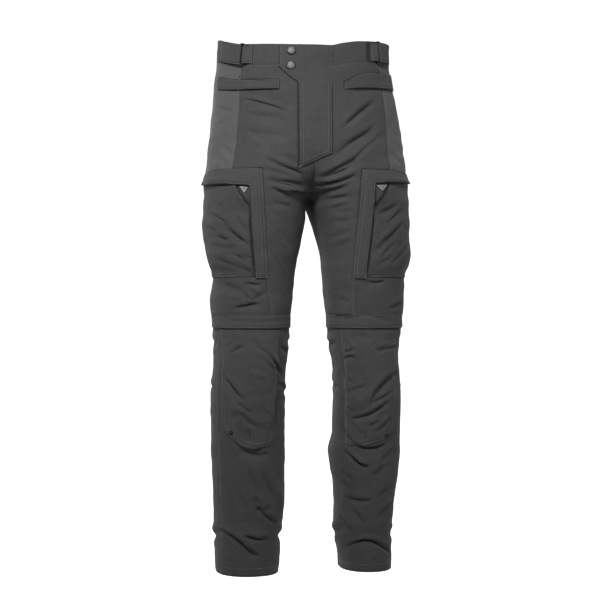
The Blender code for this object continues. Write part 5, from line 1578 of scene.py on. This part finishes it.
# Piece, inset of the row, and the box that its edge has to be in, as in rows_along.
STITCH_ROWS = [
    ("fly_flap", FIRST_ROW, EVERYWHERE),
    ("fly_flap", SECOND_ROW, (0.0, 0.229, -0.240, -0.060)),
    ("hip_welt_right", FIRST_ROW, EVERYWHERE),
    ("hip_welt_left", FIRST_ROW, EVERYWHERE),
    ("waistband_back", SEAM_ROW, (1.30, 3.0, -1.0, 1.0)),
]
for side in SIDES:
    STITCH_ROWS += [
        (f"waistband_front_{side}", SEAM_ROW, (0.02, 1.20, -1.0, 1.0)),
        (f"front_panel_{side}", FIRST_ROW, (0.9, 1.5, -0.230, -0.024)),
        (f"front_panel_{side}", FIRST_ROW, (0.9, 1.1, -0.510, -0.440)),
        (f"side_panel_{side}", FIRST_ROW, (1.1, 1.5, -0.230, -0.024)),
        (f"side_panel_{side}", SECOND_ROW, (1.1, 2.1, -0.234, -0.231)),
        (f"cargo_flap_{side}", FIRST_ROW, (0.9, 2.1, -1.0, 1.0)),
        (f"cargo_flap_{side}", SECOND_ROW, (0.9, 1.01, -1.0, 1.0)),
        (f"cargo_pocket_{side}", FIRST_ROW, (1.15, 1.95, -1.0, 1.0)),
        (f"cargo_pocket_{side}", 0.0070, (1.15, 1.95, -0.436, -0.330)),
        (f"thigh_side_{side}", SEAM_ROW, (1.0, 2.0, -0.514, -0.512)),
        (f"back_panel_{side}", SEAM_ROW, (2.0, 2.9, -0.514, -0.020)),
        (f"knee_band_{side}", SEAM_ROW, (0.05, 2.95, -1.0, 1.0)),
        (f"knee_patch_{side}", FIRST_ROW, (0.0, 3.0, -0.800, -0.545)),
        (f"knee_patch_{side}", SECOND_ROW, (0.0, 3.0, -0.800, -0.560)),
        (f"shin_front_{side}", FIRST_ROW, (1.4, 1.6, -1.010, -0.545)),
        (f"shin_side_{side}", FIRST_ROW, (1.4, 2.1, -1.010, -0.545)),
        (f"shin_front_{side}", HEM_ROW, (0.1, 1.54, -1.020, -1.010)),
        (f"shin_side_{side}", HEM_ROW, (1.58, 1.98, -1.020, -1.010)),
        (f"calf_back_{side}", HEM_ROW, (2.02, 2.90, -1.020, -1.010)),
        (f"calf_back_{side}", FIRST_ROW, (1.9, 2.1, -1.010, -0.545)),
    ]
stitch_lines = []
for node, inset, box in STITCH_ROWS:
    stitch_lines += rows_along(node, inset, box, THREAD_LIFT)
END_ROWS = {"waist_strap": (0.003, 0.007), "ring_loop": (0.003,)}
for node, insets in [(f"{name}_{side}", at) for name, at in END_ROWS.items() for side in SIDES]:
    run = pieces[node]["run"]
    outer = pieces[node]["outer"].reshape(-1, len(run), 3)
    for inset in insets:
        stitch_lines.append(list(outer[1:-1, int(np.argmin(np.abs(run - run[-1] + inset)))]))
sewn = sum(float(np.linalg.norm(np.diff(line, axis=0), axis=1).sum()) for line in stitch_lines)
print(len(stitch_lines), "rows of stitching,", round(sewn, 1), "m")


THREAD_SIDES = 6


def stitching_tree():
    """Geometry Nodes: a thread on each point of lines that are resampled to the stitch length."""
    tree = bpy.data.node_groups.new("stitching", "GeometryNodeTree")
    for label, kind in {
        "Rows": "Geometry", "Stitch Length": "Float", "Gap": "Float", "Thread Radius": "Float",
        "Slant": "Float", "Seed": "Int", "Thread": "Material",
    }.items():
        tree.interface.new_socket(label, in_out="INPUT", socket_type="NodeSocket" + kind)
    tree.interface.new_socket("Stitches", in_out="OUTPUT", socket_type="NodeSocketGeometry")
    nodes = {name: add_node(tree, kind, **settings) for name, kind, settings in (
        ("source", "NodeGroupInput", {}),
        ("end", "NodeGroupOutput", {}),
        ("to_curve", "GeometryNodeMeshToCurve", {}),
        ("pitch", "ShaderNodeMath", {"operation": "ADD"}),
        ("resample", "GeometryNodeResampleCurve", {"mode": "LENGTH"}),
        ("thread", "GeometryNodeMeshCylinder", {}),
        ("tangent", "GeometryNodeInputTangent", {}),
        ("wobble", "FunctionNodeRandomValue", {"data_type": "FLOAT_VECTOR"}),
        ("slant", "ShaderNodeVectorMath", {"operation": "SCALE"}),
        ("aimed", "ShaderNodeVectorMath", {"operation": "ADD"}),
        ("align", "FunctionNodeAlignRotationToVector", {"axis": "Z"}),
        ("instance", "GeometryNodeInstanceOnPoints", {}),
        ("realize", "GeometryNodeRealizeInstances", {}),
        ("paint", "GeometryNodeSetMaterial", {}),
    )}
    nodes["thread"].inputs["Vertices"].default_value = THREAD_SIDES
    nodes["wobble"].inputs["Min"].default_value = (-1, -1, -1)
    nodes["wobble"].inputs["Max"].default_value = (1, 1, 1)
    for start, output, end, socket in (
        ("source", "Rows", "to_curve", "Mesh"),
        ("source", "Stitch Length", "pitch", 0),
        ("source", "Gap", "pitch", 1),
        ("to_curve", "Curve", "resample", "Curve"),
        ("pitch", 0, "resample", "Length"),
        ("source", "Thread Radius", "thread", "Radius"),
        ("source", "Stitch Length", "thread", "Depth"),
        ("source", "Seed", "wobble", "Seed"),
        ("wobble", "Value", "slant", 0),
        ("source", "Slant", "slant", "Scale"),
        ("tangent", "Tangent", "aimed", 0),
        ("slant", "Vector", "aimed", 1),
        ("aimed", "Vector", "align", "Vector"),
        ("resample", "Curve", "instance", "Points"),
        ("thread", "Mesh", "instance", "Instance"),
        ("align", "Rotation", "instance", "Rotation"),
        ("instance", "Instances", "realize", "Geometry"),
        ("realize", "Geometry", "paint", "Geometry"),
        ("source", "Thread", "paint", "Material"),
        ("paint", "Geometry", "end", "Stitches"),
    ):
        tree.links.new(nodes[start].outputs[output], nodes[end].inputs[socket])
    return tree


def sew(name, lines, settings):
    """A mesh of stitches along the lines."""
    points, edges = [], []
    for line in lines:
        edges += [(len(points) + k, len(points) + k + 1) for k in range(len(line) - 1)]
        points += [tuple(p) for p in line]
    rows = bpy.data.meshes.new(name + "_rows")
    rows.from_pydata(points, edges, [])
    holder = add_object(name + "_rows", rows)
    modifier = holder.modifiers.new("stitching", "NODES")
    modifier.node_group = stitching_tree()
    for item in modifier.node_group.interface.items_tree:
        if item.in_out == "INPUT" and item.name in settings:
            modifier[item.identifier] = settings[item.name]
    bpy.context.view_layer.update()
    evaluated = holder.evaluated_get(bpy.context.evaluated_depsgraph_get())
    mesh = bpy.data.meshes.new_from_object(evaluated)
    mesh.name = name
    bpy.data.objects.remove(holder)
    return add_object(name, mesh)


def thread_material():
    """Twisted thread: mottled, with a soft gloss."""
    material, tree, inputs = principled("thread", (0.8, 0.8, 0.8), {"Roughness": 0.55, "Sheen Weight": 0.15})
    spot = add_node(tree, "ShaderNodeTexCoord").outputs["Object"]
    tones = (0.085, 0.085, 0.087), (0.230, 0.230, 0.232)
    two_tones(tree, noise(tree, spot, 900.0, 2.0), tones, inputs)
    return material


THREAD = thread_material()
stitches = sew("topstitching", stitch_lines, {
    "Stitch Length": 0.0030, "Gap": 0.0010, "Thread Radius": 0.00034,
    "Slant": 0.06, "Seed": 7, "Thread": THREAD,
})
stitches.data.shade_smooth()
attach(stitches, "root")
print("stitches:", len(stitches.data.polygons) // (THREAD_SIDES + 2))

# %% [markdown]
# ## Studio
#
# A plain white floor that sweeps up behind, a soft key light above and in front, weaker fills from
# both sides and a light from behind. The key light's beam is narrow, so it falls off towards the
# waist and down the legs, as in the photograph.

# %% Set up the floor and the lights
FLOOR = -1.10


def sweep(depth_front, depth_back, half_width, height, radius):
    """A floor that curves up into a back wall."""
    line = [(depth_front, 0.0), (depth_back - radius, 0.0)]
    line += [
        (depth_back - radius + radius * math.sin(a), radius * (1 - math.cos(a)))
        for a in np.linspace(0, math.pi / 2, 13)[1:]
    ]
    line.append((depth_back, height))
    points = [(x, y, FLOOR + z) for y, z in line for x in (-half_width, half_width)]
    faces = [(2 * i, 2 * i + 1, 2 * i + 3, 2 * i + 2) for i in range(len(line) - 1)]
    mesh = bpy.data.meshes.new("backdrop")
    mesh.from_pydata(points, [], faces)
    mesh.shade_smooth()
    return add_object("backdrop", mesh)


backdrop = sweep(depth_front=-4.0, depth_back=3.2, half_width=5.0, height=5.0, radius=1.2)
paper, *_ = principled("studio_white", (0.8, 0.8, 0.8), {
    "Base Color": (0.9, 0.9, 0.9, 1), "Roughness": 0.9,
    "Emission Color": (1, 1, 1, 1), "Emission Strength": 1.0,
})
backdrop.data.materials.append(paper)
backdrop.visible_diffuse = False
backdrop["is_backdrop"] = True


def area_light(name, place, target, width, height, power, spread=180):
    """A rectangular light aimed at a target, of so many watts and degrees of spread."""
    data = bpy.data.lights.new(name, "AREA")
    data.shape, data.size, data.size_y, data.energy = "RECTANGLE", width, height, power
    data.spread = math.radians(spread)
    lamp = add_object(name, data)
    lamp.location = place
    lamp.rotation_euler = (Vector(target) - Vector(place)).to_track_quat("-Z", "Y").to_euler()


area_light("key", (-0.60, -1.60, 0.95), (0, 0, -0.37), 0.8, 0.5, 5.8, 70)
area_light("fill_right", (-2.4, -0.9, 0.4), (0, 0, -0.4), 0.8, 1.0, 5)
area_light("fill_left", (2.4, -1.2, 0.3), (0, 0, -0.35), 0.8, 1.0, 9)
area_light("back_light", (0, 2.0, 1.4), (0, 0, -0.3), 1.6, 1.0, 24)
world = bpy.data.worlds.new("studio")
world.use_nodes = True
world.node_tree.nodes["Background"].inputs["Color"].default_value = (1, 1, 1, 1)
world.node_tree.nodes["Background"].inputs["Strength"].default_value = 0.04
bpy.context.scene.world = world
bpy.context.scene.view_settings.view_transform = "Standard"
bpy.context.scene.view_settings.look = "None"
print("floor at", FLOOR)

# %% [markdown]
# ## Check the size
#
# The trousers must not have grown: the box of what shows is compared with the CAD box.

# %% Compare the boxes and finish
visual_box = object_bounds()
for label, cad_corner, corner in zip(("lowest", "highest"), cad_box, visual_box):
    print(label, "corner moved by, mm:", [round((b - a) * 1000, 1) for a, b in zip(cad_corner, corner)])
triangles = sum(len(f.vertices) - 2 for p in pieces.values() for f in p["object"].data.polygons)
print("cloth pieces:", len(pieces), "with", triangles, "triangles")
